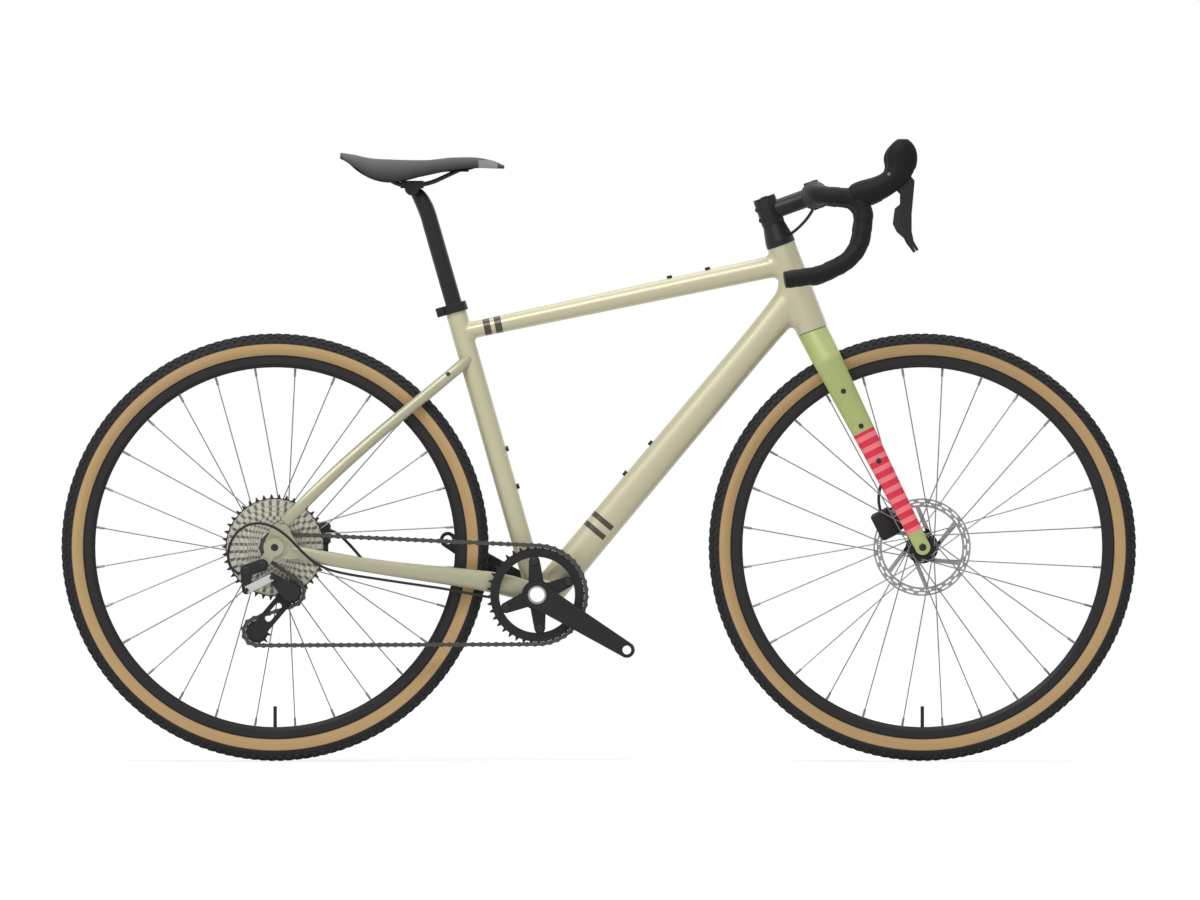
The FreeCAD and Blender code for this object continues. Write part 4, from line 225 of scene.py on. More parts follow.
def makeRing():
    # Polar place round an axle: radius in metres and turn from 0 to 1
    group, given, result = startGroup("wheelPlace", [("Centre", "NodeSocketVector")],
                                      [("Radius", "NodeSocketFloat"), ("Turn", "NodeSocketFloat")])
    local = addNode(group, "ShaderNodeVectorMath", [("operation", "SUBTRACT")],
                    [(0, objectPlace(group)), (1, given.outputs["Centre"])])
    parts = addNode(group, "ShaderNodeSeparateXYZ", (), [(0, local.outputs[0])])
    across = addMath(group, "MULTIPLY", parts.outputs["X"], parts.outputs["X"])
    square = addMath(group, "MULTIPLY_ADD", parts.outputs["Z"], parts.outputs["Z"], across)
    angle = addMath(group, "ARCTAN2", parts.outputs["Z"], parts.outputs["X"])
    turn = addMath(group, "MULTIPLY_ADD", angle, 0.5 / math.pi, 0.5)
    group.links.new(addMath(group, "SQRT", square), result.inputs["Radius"])
    group.links.new(turn, result.inputs["Turn"])
    return group


grainGroup = makeGrain()
ringGroup = makeRing()


def linear(red, green, blue):
    # Screen values of 0 to 255 as the linear colour that shaders take
    def one(value):
        share = value / 255
        return share / 12.92 if share <= 0.04045 else ((share + 0.055) / 1.055) ** 2.4
    return (one(red), one(green), one(blue), 1)


def surface(name, tint, scale=60, spread=0.3, rough=0.4, roughSpread=0.2, metallic=0.0, coat=0.0,
            coatRough=0.12, bump=0.1, depth=0.2, specular=0.5):
    finish = bpy.data.materials.new(name)
    finish.use_nodes = True
    tree = finish.node_tree
    shader = tree.nodes["Principled BSDF"]
    grain = addNode(tree, "ShaderNodeGroup", [
        ("node_tree", grainGroup), ("Tint", tint), ("Scale", scale), ("Spread", spread), ("Rough", rough),
        ("RoughSpread", roughSpread)])
    tree.links.new(grain.outputs["Color"], shader.inputs["Base Color"])
    tree.links.new(grain.outputs["Roughness"], shader.inputs["Roughness"])
    raised = addNode(tree, "ShaderNodeBump", [("Strength", bump), ("Distance", depth * mm)],
                     [("Height", grain.outputs["Height"])])
    tree.links.new(raised.outputs["Normal"], shader.inputs["Normal"])
    for label, value in (("Metallic", metallic), ("Specular IOR Level", specular), ("Coat Weight", coat),
                         ("Coat Roughness", coatRough)):
        shader.inputs[label].default_value = value
    return finish


def overlay(finish, mask, tint):
    # Lays a second colour over the base colour where the mask is 1
    tree = finish.node_tree
    socket = tree.nodes["Principled BSDF"].inputs["Base Color"]
    below = socket.links[0].from_socket
    mix = addNode(tree, "ShaderNodeMix", [("data_type", "RGBA"), (7, tint)], [(0, mask), (6, below)])
    tree.links.new(mix.outputs[2], socket)


def alongAxis(finish, axis):
    # Distance along a direction, in metres from the origin
    tree = finish.node_tree
    dot = addNode(tree, "ShaderNodeVectorMath", [("operation", "DOT_PRODUCT"), (1, axis)],
                  [(0, objectPlace(tree))])
    return dot.outputs["Value"]


def wheelPlace(finish, centre):
    place = addNode(finish.node_tree, "ShaderNodeGroup", [("node_tree", ringGroup), ("Centre", centre)])
    return place.outputs["Radius"], place.outputs["Turn"]


def between(finish, value, low, high, unit=mm):
    # 1 where a value lies between two limits, which are in millimetres unless a unit is given
    return addMath(finish.node_tree, "COMPARE", value, (low + high) / 2 * unit, (high - low) / 2 * unit)


def inBoth(finish, first, second):
    return addMath(finish.node_tree, "MULTIPLY", first, second)


def paint(names, finish):
    for name in names:
        nodes[name].data.materials.clear()
        nodes[name].data.materials.append(finish)


print("stage: shader groups ready")

# Painted frame
frameTint = linear(180, 175, 145)
framePaint = {"scale": 900, "spread": 0.14, "roughSpread": 0.03, "metallic": 0.2, "coat": 0.3, "bump": 0.004}
plainPaint = surface("framePaint", frameTint, **framePaint)
paint(["head_tube", "bb_shell", "seat_tube"], plainPaint)
# Stays and dropouts take a darker copy of the frame paint: painted shade, as they sit low and face partly
# down
paint(["rear_dropouts", "seatstays", "chainstays"], surface("shadedStayPaint", linear(160, 157, 131), **framePaint))

# Stripe places are x and z in the bike's own frame
stripes = {
    "tint": linear(52, 50, 30), "topPlaces": ((-182.5, 710.7), (-164.4, 714.5)), "topHalf": 5.7,
    "downPlaces": ((-6.1, 379.2), (7.1, 394.0)), "downHalf": 4.6, "downBelow": 15,
}


def stripedPaint(name, axis, places, half, upper=None):
    # Dark bands across a tube; upper gives a direction and the level above which they show
    finish = surface(name, frameTint, **framePaint)
    along = alongAxis(finish, axis)
    for x, z in places:
        centre = Vector((x, 0, z)).dot(axis)
        band = between(finish, along, centre - half, centre + half)
        if upper:
            above = addMath(finish.node_tree, "GREATER_THAN", alongAxis(finish, upper[0]), upper[1] * mm)
            band = inBoth(finish, band, above)
        overlay(finish, band, stripes["tint"])
    return finish


topAxis = (topTubeFront - topTubeRear).normalized()
paint(["top_tube"], stripedPaint("topTubePaint", topAxis, stripes["topPlaces"], stripes["topHalf"]))
downAxis = (downTubeHigh - downTubeLow).normalized()
downOut = Vector((-downAxis.z, 0, downAxis.x))
downUpper = (downOut, downTubeLow.dot(downOut) - stripes["downBelow"])
downPaint = stripedPaint("downTubePaint", downAxis, stripes["downPlaces"], stripes["downHalf"], downUpper)
paint(["down_tube"], downPaint)

# Painted fork with plain colour bars low on each leg
forkBars = {"start": (416.6, 0, 532.3), "end": (515.0, 0, 375.0), "pitch": 9.5, "wide": 5.2,
            "ground": linear(224, 112, 118), "bar": linear(200, 30, 62)}


def forkFinish():
    finish = surface("forkPaint", linear(157, 168, 104), scale=900, spread=0.2, rough=0.55,
                     roughSpread=0.08, metallic=0.1, coat=0.1, bump=0.012)
    tree = finish.node_tree
    along = alongAxis(finish, legDown)
    limits = [Vector(forkBars[end]).dot(legDown) for end in ("start", "end")]
    ground = between(finish, along, *limits)
    overlay(finish, ground, forkBars["ground"])
    phase = addMath(tree, "PINGPONG", along, forkBars["pitch"] * mm)
    bars = inBoth(finish, ground, addMath(tree, "LESS_THAN", phase, forkBars["wide"] * mm))
    overlay(finish, bars, forkBars["bar"])
    return finish


paint(["fork"], forkFinish())

# Metals and plastics
blackMetal = {"scale": 420, "spread": 0.5, "metallic": 0.15, "bump": 0.06, "specular": 0.3}
paint(["seat_collar", "bottom_bracket", "frame_bolts", "rear_axle", "rear_caliper", "seatpost", "seat_clamp",
       "front_axle", "headset_cover", "stem", "stem_faceplate", "stem_bolts", "handlebar", "front_caliper",
       "front_hub", "rear_hub", "crank_arm_right", "crank_arm_left", "chainring", "derailleur_cage",
       "brake_lever_left", "brake_lever_right", "saddle_rails"],
      surface("blackAlloy", linear(26, 26, 27), **blackMetal))
paint(["front_rim", "rear_rim"],
      surface("rimAlloy", linear(33, 31, 31), scale=300, spread=0.4, rough=0.38, roughSpread=0.18,
              metallic=0.2, bump=0.05, specular=0.3))
spokeSteel = surface("spokeSteel", linear(128, 128, 128), scale=500, rough=0.3, metallic=0.9, bump=0.03)
paint(["front_spokes", "rear_spokes"], spokeSteel)
paint(["headset_bearings", "freehub_body", "crank_spindle", "rear_pad_outer", "rear_pad_inner",
       "front_pad_outer", "front_pad_inner"],
      surface("plainSteel", linear(150, 148, 144), scale=350, spread=0.4, rough=0.38, metallic=0.9,
              bump=0.06))
paint(["chain"],
      surface("chainSteel", linear(74, 73, 71), scale=700, spread=0.7, roughSpread=0.3, metallic=0.8))
paint(["saddle_shell", "guide_pulley", "tension_pulley", "shift_paddle"],
      surface("blackPlastic", linear(28, 28, 29), scale=800, spread=0.5, rough=0.5, bump=0.12, specular=0.3))
paint(["hood_right", "hood_left"],
      surface("hoodRubber", linear(23, 22, 23), scale=1400, spread=0.5, rough=0.55, roughSpread=0.15,
              bump=0.2, depth=0.3, specular=0.12))
boltBlack = surface("boltBlack", linear(36, 36, 37), scale=600, spread=0.5, metallic=0.4, bump=0.06)

# Cassette: slot and shade sizes are measured out from a cog's pitch radius
cogs = {
    "teeth": (11, 13, 15, 17, 19, 21, 24, 28, 32, 37, 42), "pitch": 12.7, "shadeLow": 1.9, "shadeHigh": 2.7,
    "slots": (18, 20, 22, 24, 26, 28, 32, 36, 44), "slotLow": 3.2, "slotHigh": 1.4, "slotOpen": (0.3, 0.7),
    "largeDeep": 6, "shadeTint": linear(104, 101, 91), "slotTint": linear(112, 109, 99),
    "largeTint": linear(50, 48, 43),
}


def cogFinish():
    # Plated cogs with a shadow line round each, rows of slots in most and a dark edge on the largest
    finish = surface("cogSteel", linear(196, 193, 180), scale=420, spread=1.1, rough=0.36, roughSpread=0.25,
                     metallic=0.7, bump=0.08)
    tree = finish.node_tree
    radius, turn = wheelPlace(finish, rearCentre)
    cogRadii = [cogs["pitch"] / 2 / math.sin(math.pi / teeth) for teeth in cogs["teeth"]]
    for cog in cogRadii:
        shade = between(finish, radius, cog + cogs["shadeLow"], cog + cogs["shadeHigh"])
        overlay(finish, shade, cogs["shadeTint"])
    slotted = len(cogs["slots"])
    for below, cog, slots in zip(cogRadii[-slotted - 1:-1], cogRadii[-slotted:], cogs["slots"]):
        low = below + cogs["slotLow"]
        high = cog + cogs["slotHigh"]
        step = addMath(tree, "FRACT", addMath(tree, "MULTIPLY_ADD", turn, float(slots), low / high))
        row = between(finish, radius, low, high)
        slot = inBoth(finish, row, between(finish, step, *cogs["slotOpen"], unit=1))
        overlay(finish, slot, cogs["slotTint"])
    edge = addMath(tree, "GREATER_THAN", radius, (cogRadii[-1] - cogs["largeDeep"]) * mm)
    overlay(finish, edge, cogs["largeTint"])
    return finish


paint(["cassette"], cogFinish())

# Derailleur: black knuckles with one bright link
derailleur = {"linkRoot": (-577, 0, 281), "linkTip": (-535, 0, 302), "linkHalf": 6.4,
              "linkTint": linear(186, 186, 184)}


def derailleurFinish():
    finish = surface("derailleurAlloy", linear(31, 31, 32), **blackMetal)
    root = Vector(derailleur["linkRoot"])
    tip = Vector(derailleur["linkTip"])
    run = (tip - root).normalized()
    beside = Vector((-run.z, 0, run.x))
    middle = root.dot(beside)
    half = derailleur["linkHalf"]
    lengthMask = between(finish, alongAxis(finish, run), root.dot(run), tip.dot(run))
    sideMask = between(finish, alongAxis(finish, beside), middle - half, middle + half)
    overlay(finish, inBoth(finish, lengthMask, sideMask), derailleur["linkTint"])
    return finish


paint(["derailleur_body"], derailleurFinish())

# Rotors: each row of cuts has its inner and outer radius and a shift in steps
rotor = {"cutRows": ((69.6, 72.2, 0.0), (74.4, 77.2, 0.5)), "cutCount": 24.0, "cutOpen": (0.2, 0.8),
         "carrierRadius": 31, "carrierTint": linear(34, 34, 35)}


def rotorFinish(name, centre):
    # Steel ring with see-through cuts on a dark carrier
    finish = surface(name, linear(150, 150, 150), scale=260, spread=0.35, rough=0.36, metallic=0.85,
                     bump=0.06)
    tree = finish.node_tree
    radius, turn = wheelPlace(finish, centre)
    solid = None
    for low, high, shift in rotor["cutRows"]:
        step = addMath(tree, "FRACT", addMath(tree, "MULTIPLY_ADD", turn, rotor["cutCount"], shift))
        row = between(finish, radius, low, high)
        cut = inBoth(finish, row, between(finish, step, *rotor["cutOpen"], unit=1))
        left = addMath(tree, "SUBTRACT", 1.0, cut)
        solid = inBoth(finish, solid, left) if solid else left
    tree.links.new(solid, tree.nodes["Principled BSDF"].inputs["Alpha"])
    overlay(finish, addMath(tree, "LESS_THAN", radius, rotor["carrierRadius"] * mm), rotor["carrierTint"])
    return finish


paint(["rear_rotor"], rotorFinish("rearRotorSteel", rearCentre))
paint(["front_rotor"], rotorFinish("frontRotorSteel", frontCentre))
print("stage: frame nodes painted")


# Mesh helpers
def cleanMesh(name, points, faces):
    mesh = bpy.data.meshes.new(name)
    mesh.from_pydata([tuple(point) for point in points], [], faces)
    shape = bmesh.new()
    shape.from_mesh(mesh)
    bmesh.ops.recalc_face_normals(shape, faces=shape.faces)
    shape.to_mesh(mesh)
    shape.free()
    return mesh


def addPiece(name, data, body, replaced=()):
    piece = bpy.data.objects.new(name, data)
    scene.collection.objects.link(piece)
    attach(piece, body)
    if replaced:
        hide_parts(*replaced)
    return piece


def newPiece(name, points, faces, finish, body, replaced=()):
    # Points come in millimetres
    mesh = cleanMesh(name, [point * mm for point in points], faces)
    mesh.shade_smooth()
    mesh.materials.append(finish)
    return addPiece(name, mesh, body, replaced)


def gridFaces(rows, columns, closed=True):
    # Every row is a ring; closed joins the last row to the first
    faces = []
    for row in range(rows if closed else rows - 1):
        here = row * columns
        there = (row + 1) % rows * columns
        for column in range(columns):
            after = (column + 1) % columns
            faces.append((here + column, here + after, there + after, there + column))
    return faces


def ringFace(row, columns):
    # One face that caps a whole ring
    return tuple(range(row * columns, (row + 1) * columns))


def roundAxle(radius, turn, y):
    return Vector((radius * math.cos(turn), y, radius * math.sin(turn)))


# Smooth joints where one tube runs into another
def skinOf(name):
    mesh = nodes[name].data
    return BVHTree.FromPolygons([vertex.co.copy() for vertex in mesh.vertices],
                                [tuple(face.vertices) for face in mesh.polygons])


def skinPoint(skin, centre, out, reach=90):
    # The outer skin met by looking in towards a tube's middle, in millimetres
    hit = skin.ray_cast((centre + out * reach) * mm, -out, reach * mm)[0]
    return None if hit is None else hit / mm


# Each fillet: tube, the piece it runs into, start and end of its middle line, and reach
fillet = {"rings": 72, "steps": 7, "walk": 0.4, "sink": 0.25, "core": 1.5, "sharp": 50}
fillets = {
    "topTubeHeadFillet": ("top_tube", "head_tube", topTubeRear, topTubeFront, 12),
    "downTubeHeadFillet": ("down_tube", "head_tube", downTubeLow, downTubeHigh, 19),
    "topTubeSeatFillet": ("top_tube", "seat_tube", topTubeFront, topTubeRear, 8),
    "downTubeShellFillet": ("down_tube", "bb_shell", downTubeHigh, downTubeLow, 9),
    "seatTubeShellFillet": ("seat_tube", "bb_shell", topTubeRear, bottomBracket, 8),
}


def makeFillet(name, tubeName, hostName, start, end, reach):
    tube = skinOf(tubeName)
    host = skinOf(hostName)
    ahead = (end - start).normalized()
    up = Vector((-ahead.z, 0, ahead.x))
    points = []
    for ring in range(fillet["rings"]):
        turn = 2 * math.pi * ring / fillet["rings"]
        out = up * math.sin(turn) + sideways * math.cos(turn)
        travel = (end - start).length
        while skinPoint(tube, start + ahead * travel, out) is None:
            travel -= fillet["walk"]
        contact = skinPoint(tube, start + ahead * travel, out)
        foot = skinPoint(tube, start + ahead * (travel - reach), out)
        normal = host.find_nearest(contact * mm)[1]
        slide = (out - normal * out.dot(normal)).normalized()
        landing, landingNormal = host.find_nearest((contact + slide * reach) * mm)[:2]
        foot = foot - out * fillet["sink"]
        landing = landing / mm - landingNormal * fillet["sink"]
        for step in range(fillet["steps"] + 1):
            share = step / fillet["steps"]
            bend = foot * (1 - share) ** 2 + contact * (2 * share * (1 - share)) + landing * share ** 2
            points.append(bend)
        points.append(contact - (out + normal).normalized() * fillet["core"])
    faces = gridFaces(fillet["rings"], fillet["steps"] + 2)
    piece = newPiece(name, points, faces, plainPaint, "frame")
    piece.data.set_sharp_from_angle(angle=math.radians(fillet["sharp"]))


for label, row in fillets.items():
    makeFillet(label, *row)
print("stage: tube joints smoothed")

# Smoothed copies of frame nodes: node, body, width of the rounded edges or 0 for none, and slot
smoothed = {
    "crankArmRight": ("crank_arm_right", "crank", 2.0), "crankArmLeft": ("crank_arm_left", "crank", 2.0),
    "frontCaliper": ("front_caliper", "steering", 4.0), "rearCaliper": ("rear_caliper", "frame", 4.0),
    "stemBody": ("stem", "steering", 1.6), "stemFaceplate": ("stem_faceplate", "steering", 1.2),
    "seatCollar": ("seat_collar", "frame", 1.2), "seatClamp": ("seat_clamp", "saddle", 2.0),
    "derailleurBody": ("derailleur_body", "frame", 1.6), "forkBody": ("fork", "steering", 0.4, "fork_paint"),
    "topTube": ("top_tube", "frame", 0, "frame_paint"), "downTube": ("down_tube", "frame", 0, "frame_paint"),
    "seatstayPair": ("seatstays", "frame", 0, "frame_paint"),
    "chainstayPair": ("chainstays", "frame", 0, "frame_paint"),
}
rounding = {"weld": 0.01, "flat": 2, "sharp": 40, "segments": 3, "profile": 0.5,
            "unclamped": ("front_caliper", "rear_caliper")}


def makeSmoothed(name, node, body, width, slot="black_alloy"):
    sharp = math.radians(rounding["sharp"])
    shape = bmesh.new()
    shape.from_mesh(nodes[node].data)
    bmesh.ops.remove_doubles(shape, verts=shape.verts, dist=rounding["weld"] * mm)
    if width:
        bmesh.ops.dissolve_limit(shape, angle_limit=math.radians(rounding["flat"]), verts=shape.verts,
                                 edges=shape.edges)
        edges = [edge for edge in shape.edges if len(edge.link_faces) == 2 and edge.calc_face_angle() > sharp]
        bmesh.ops.bevel(shape, geom=edges, offset=width * mm, segments=rounding["segments"],
                        profile=rounding["profile"], affect="EDGES",
                        clamp_overlap=node not in rounding["unclamped"])
    mesh = bpy.data.meshes.new(name)
    shape.to_mesh(mesh)
    shape.free()
    mesh.shade_smooth()
    mesh.set_sharp_from_angle(angle=sharp)
    mesh.materials.append(nodes[node].data.materials[0])
    addPiece(name, mesh, body, [node])


for label, row in smoothed.items():
    makeSmoothed(label, *row)
print("stage: tubes and forged pieces smoothed")


# Repeats: copies of one tool on points that carry their own turn and size
def makeScatter(tool, finish):
    geometry = [("Geometry", "NodeSocketGeometry")]
    group, given, result = startGroup("scatter", geometry, geometry, "GeometryNodeTree")
    shape = addNode(group, "GeometryNodeObjectInfo", [("Object", tool)])
    turn, size = [addNode(group, "GeometryNodeInputNamedAttribute",
                          [("data_type", "FLOAT_VECTOR"), ("Name", label)]) for label in ("turn", "size")]
    angle = addNode(group, "FunctionNodeEulerToRotation", (), [(0, turn.outputs["Attribute"])])
    placed = addNode(group, "GeometryNodeInstanceOnPoints", (), [
        ("Points", given.outputs[0]), ("Instance", shape.outputs["Geometry"]), ("Rotation", angle.outputs[0]),
        ("Scale", size.outputs["Attribute"])])
    real = addNode(group, "GeometryNodeRealizeInstances", (), [(0, placed.outputs[0])])
    dressed = addNode(group, "GeometryNodeSetMaterial", [("Material", finish)],
                      [("Geometry", real.outputs[0])])
    group.links.new(dressed.outputs[0], result.inputs[0])
    return group


def scatterPiece(name, spots, tool, finish, body):
    # spots: place in metres, turn as a matrix and size in metres
    mesh = bpy.data.meshes.new(name + "Points")
    mesh.from_pydata([tuple(place) for place, turn, size in spots], [], [])
    columns = {"turn": [turn.to_euler() for place, turn, size in spots],
               "size": [size for place, turn, size in spots]}
    for label, column in columns.items():
        layer = mesh.attributes.new(label, "FLOAT_VECTOR", "POINT")
        for row, value in enumerate(column):
            layer.data[row].vector = value
    source = bpy.data.objects.new(name + "Points", mesh)
    scene.collection.objects.link(source)
    modifier = source.modifiers.new("scatter", "NODES")
    modifier.node_group = makeScatter(tool, finish)
    bpy.context.view_layer.update()
    result = bpy.data.meshes.new_from_object(source.evaluated_get(bpy.context.evaluated_depsgraph_get()))
    source.modifiers.remove(modifier)
    bpy.data.objects.remove(source)
    result.name = name
    result.materials.clear()
    result.materials.append(finish)
    addPiece(name, result, body)


# Socket screws and the lever pins
screwHead = {
    "sides": 24, "socketRow": 5, "tall": 1.6,
    "profile": ((0.98, 0.0), (1.0, 0.1), (1.0, 0.62), (0.86, 0.8), (0.56, 0.8), (0.5, 0.78), (0.5, 0.2)),
}


def screwTool():
    # Unit head with a six-sided socket, standing on its own origin
    sides = screwHead["sides"]
    profile = screwHead["profile"]
    sixth = math.pi / 3
    points = []
    for row, (radius, height) in enumerate(profile):
        for side in range(sides):
            turn = 2 * math.pi * side / sides
            flat = math.cos(sixth / 2) / math.cos(turn % sixth - sixth / 2)
            reach = radius * flat if row >= screwHead["socketRow"] else radius
            points.append((reach * math.cos(turn), reach * math.sin(turn), height))
    caps = [ringFace(0, sides), ringFace(len(profile) - 1, sides)]
    mesh = cleanMesh("screwTool", points, gridFaces(len(profile), sides, closed=False) + caps)
    return bpy.data.objects.new("screwTool", mesh)


# Boss places run along their tubes from the low or rear end; stay is an offset from the rear axle
bosses = {"radius": 4.2, "tall": 3.0, "seat": (180, 244), "down": (237, 302), "top": (352, 416),
          "stay": (284, 0, 284), "stayRadius": 3.4, "forkFirst": 111, "forkStep": 64, "forkCount": 3,
          "forkLook": 6}
axleEnds = {"radius": 5.2, "rearY": 85, "frontY": 60}
knuckles = {"hanger": ((-551, 0, 322), (-577, 0, 313)), "hangerRadius": 5.4, "linkRadius": 3.9, "out": 101}
stemScrews = {"faceY": 16, "faceRise": 19, "faceAhead": 12.2, "faceRadius": 3.8, "capRise": 84,
              "capRadius": 6.0, "pinchHeights": (50, 68), "pinchBack": 17, "pinchY": 12, "pinchRadius": 4.2}
ringScrews = {"circle": 55, "y": -55.8, "crankAngle": -31.5, "spiderHalf": 54, "radius": 5.6}
pins = {"place": (474, 0, 961), "y": 206, "radius": 2.6}


def atBothSides(centre, out, radius):
    return [(centre + side * out, side, radius) for side in bothSides]


def frameScrews():
    rows = []
    for low, high, node, heights in ((bottomBracket, topTubeRear, "seat_tube", bosses["seat"]),
                                     (downTubeLow, downTubeHigh, "down_tube", bosses["down"]),
                                     (topTubeRear, topTubeFront, "top_tube", bosses["top"])):
        along = (high - low).normalized()
        out = seatAhead if node == "seat_tube" else Vector((-along.z, 0, along.x))
        for height in heights:
            crest = skinPoint(skinOf(node), low + along * height, out)
            rows.append((crest + out * bosses["tall"], out, bosses["radius"]))
    for side in bothSides:
        boss = skinPoint(skinOf("seatstays"), rearAxle + Vector(bosses["stay"]), side)
        rows.append((boss, side, bosses["stayRadius"]))
    rows.extend(atBothSides(rearAxle, axleEnds["rearY"], axleEnds["radius"]))
    for places, radius in ((knuckles["hanger"], knuckles["hangerRadius"]),
                           ((derailleur["linkRoot"], derailleur["linkTip"]), knuckles["linkRadius"])):
        for place in places:
            rows.append((Vector(place) - sideways * knuckles["out"], -sideways, radius))
    return rows


def steeringScrews():
    rows = []
    forkSkin = skinOf("fork")
    for number in range(bosses["forkCount"]):
        place = crown + legDown * (bosses["forkFirst"] + number * bosses["forkStep"])
        for side in bothSides:
            beside = skinPoint(forkSkin, place + legDown * bosses["forkLook"], side)
            rows.append((Vector((place.x, beside.y, place.z)), side, bosses["radius"]))
    face = barMiddle + headAhead * stemScrews["faceAhead"]
    for side in bothSides:
        for rise in (-stemScrews["faceRise"], stemScrews["faceRise"]):
            place = face + headUp * rise + side * stemScrews["faceY"]
            rows.append((place, headAhead, stemScrews["faceRadius"]))
    rows.append((headTop + headUp * stemScrews["capRise"], headUp, stemScrews["capRadius"]))
    for height in stemScrews["pinchHeights"]:
        spot = headTop + headUp * height - headAhead * stemScrews["pinchBack"]
        rows.extend(atBothSides(spot, stemScrews["pinchY"], stemScrews["pinchRadius"]))
    return rows + atBothSides(frontAxle, axleEnds["frontY"], axleEnds["radius"])


def crankScrews():
    rows = []
    for base in (ringScrews["crankAngle"], ringScrews["crankAngle"] + 180):
        for lean in (-ringScrews["spiderHalf"], ringScrews["spiderHalf"]):
            spot = roundAxle(ringScrews["circle"], math.radians(base + lean), ringScrews["y"])
            rows.append((bottomBracket + spot, -sideways, ringScrews["radius"]))
    return rows


def leverPins():
    rows = []
    for side, node in zip(bothSides, ("hood_right", "hood_left")):
        middle = Vector(pins["place"]) + side * pins["y"]
        rows.append((skinPoint(skinOf(node), middle, side), side, pins["radius"]))
    return rows


screwShape = screwTool()


def setScrews(name, rows, body, finish=boltBlack):
    spots = []
    for place, normal, radius in rows:
        upright = normal.to_track_quat("Z", "Y").to_matrix()
        spots.append((place * mm, upright, Vector((radius, radius, screwHead["tall"])) * mm))
    scatterPiece(name, spots, screwShape, finish, body)


setScrews("frameScrews", frameScrews(), "frame")
setScrews("steeringScrews", steeringScrews(), "steering")
setScrews("crankScrews", crankScrews(), "crank")
setScrews("leverPins", leverPins(), "steering", spokeSteel)
print("stage: screws set")

# Crown seal: a dark ring in the running gap under the head tube; corners are radius and rise
crownSeal = {"corners": ((16, 0.1), (24.2, 0.1), (24.2, 1.1), (16, 1.1)), "around": 64}


def makeCrownSeal():
    points = []
    for radius, rise in crownSeal["corners"]:
        for step in range(crownSeal["around"]):
            turn = 2 * math.pi * step / crownSeal["around"]
            out = headAhead * math.cos(turn) + sideways * math.sin(turn)
            points.append(crown + headUp * rise + out * radius)
    faces = gridFaces(len(crownSeal["corners"]), crownSeal["around"])
    newPiece("crownSeal", points, faces, boltBlack, "steering")


makeCrownSeal()

# Tyres: a lathe casing with knobs set out by Geometry Nodes
# profile: half width and radius; bands: radii and colour; knobRows: y, radius, lean, shift and size
tyre = {
    "steps": 216, "wall": 2.2, "thinFrom": 305, "thinSpan": 43,
    "profile": ((11.4, 308.2), (11.4, 313.2), (15.5, 317.5), (18.6, 322.5), (19.8, 328.0), (19.9, 333.0),
                (19.2, 338.0), (17.2, 342.5), (13.6, 346.0), (9.0, 347.9), (4.5, 348.6), (0.0, 348.7)),
    # The first band is a darker tan under a lighter one, leaving thin edges of painted shade where the wall
    # meets the rim and the tread
    "bands": ((315.0, 333.6, linear(132, 108, 72)), (315.8, 332.8, linear(173, 143, 101)),
              (323.6, 324.1, linear(158, 128, 86))),
    "knobRows": ((4.6, 348.4, 8, 0.0, (6.4, 5.4, 2.1)), (10.8, 346.9, 24, 0.5, (6.2, 4.8, 2.6)),
                 (15.9, 343.6, 46, 0.0, (7.2, 5.0, 2.8)), (19.0, 338.4, 70, 0.5, (5.4, 5.6, 1.6))),
    "knobCount": 150, "knobStagger": 0.25, "knobTaper": 0.82, "knobEdge": 0.07,
}
rubberFeel = {"spread": 0.5, "roughSpread": 0.15, "bump": 0.25, "depth": 0.4, "specular": 0.3}
knobRubber = surface("knobRubber", linear(29, 30, 30), scale=700, rough=0.74, **rubberFeel)


def tyreFinish(name, centre):
    finish = surface(name, linear(32, 32, 33), scale=500, rough=0.72, **rubberFeel)
    radius = wheelPlace(finish, centre)[0]
    # Bands are laid in order, so the first one's darker edges stay as painted shade round the tan wall
    for low, high, tint in tyre["bands"]:
        overlay(finish, between(finish, radius, low, high), tint)
    return finish


def knobTool():
    # Unit block with a narrower, bevelled top, standing on its own origin
    mesh = bpy.data.meshes.new("knobTool")
    shape = bmesh.new()
    bmesh.ops.create_cube(shape, size=1)
    top = [vertex for vertex in shape.verts if vertex.co.z > 0]
    for vertex in top:
        vertex.co.x *= tyre["knobTaper"]
        vertex.co.y *= tyre["knobTaper"]
    for vertex in shape.verts:
        vertex.co.z += 0.5
    edges = [edge for edge in shape.edges if all(vertex in top for vertex in edge.verts)]
    bmesh.ops.bevel(shape, geom=edges, offset=tyre["knobEdge"], segments=1, affect="EDGES")
    shape.to_mesh(mesh)
    shape.free()
    return bpy.data.objects.new("knobTool", mesh)


def thinner(y, radius):
    # The inner skin's point for one on the outer skin
    share = (radius - tyre["thinFrom"]) / tyre["thinSpan"]
    return max(abs(y) - tyre["wall"], 0) * math.copysign(1, y), radius - tyre["wall"] * share


def makeTyre(name, centre, finish, body, node):
    half = list(tyre["profile"])
    outer = half + [(-y, radius) for y, radius in reversed(half[:-1])]
    loop = outer + [thinner(y, radius) for y, radius in reversed(outer)]
    points = []
    for step in range(tyre["steps"]):
        turn = 2 * math.pi * step / tyre["steps"]
        points.extend(centre + roundAxle(radius, turn, y) for y, radius in loop)
    newPiece(name, points, gridFaces(tyre["steps"], len(loop)), finish, body, [node])
    spots = []
    for y, radius, lean, shift, size in tyre["knobRows"]:
        for side in (-1, 1):
            stagger = shift + (tyre["knobStagger"] if side > 0 else 0)
            for number in range(tyre["knobCount"]):
                turn = 2 * math.pi * (number + stagger) / tyre["knobCount"]
                place = centre + roundAxle(radius, turn, side * y)
                upright = Matrix.Rotation(-turn, 3, "Y") @ Matrix.Rotation(math.pi / 2, 3, "Y")
                leaned = upright @ Matrix.Rotation(-side * math.radians(lean), 3, "X")
                spots.append((place * mm, leaned, Vector(size) * mm))
    scatterPiece(name + "Knobs", spots, knobShape, knobRubber, body)


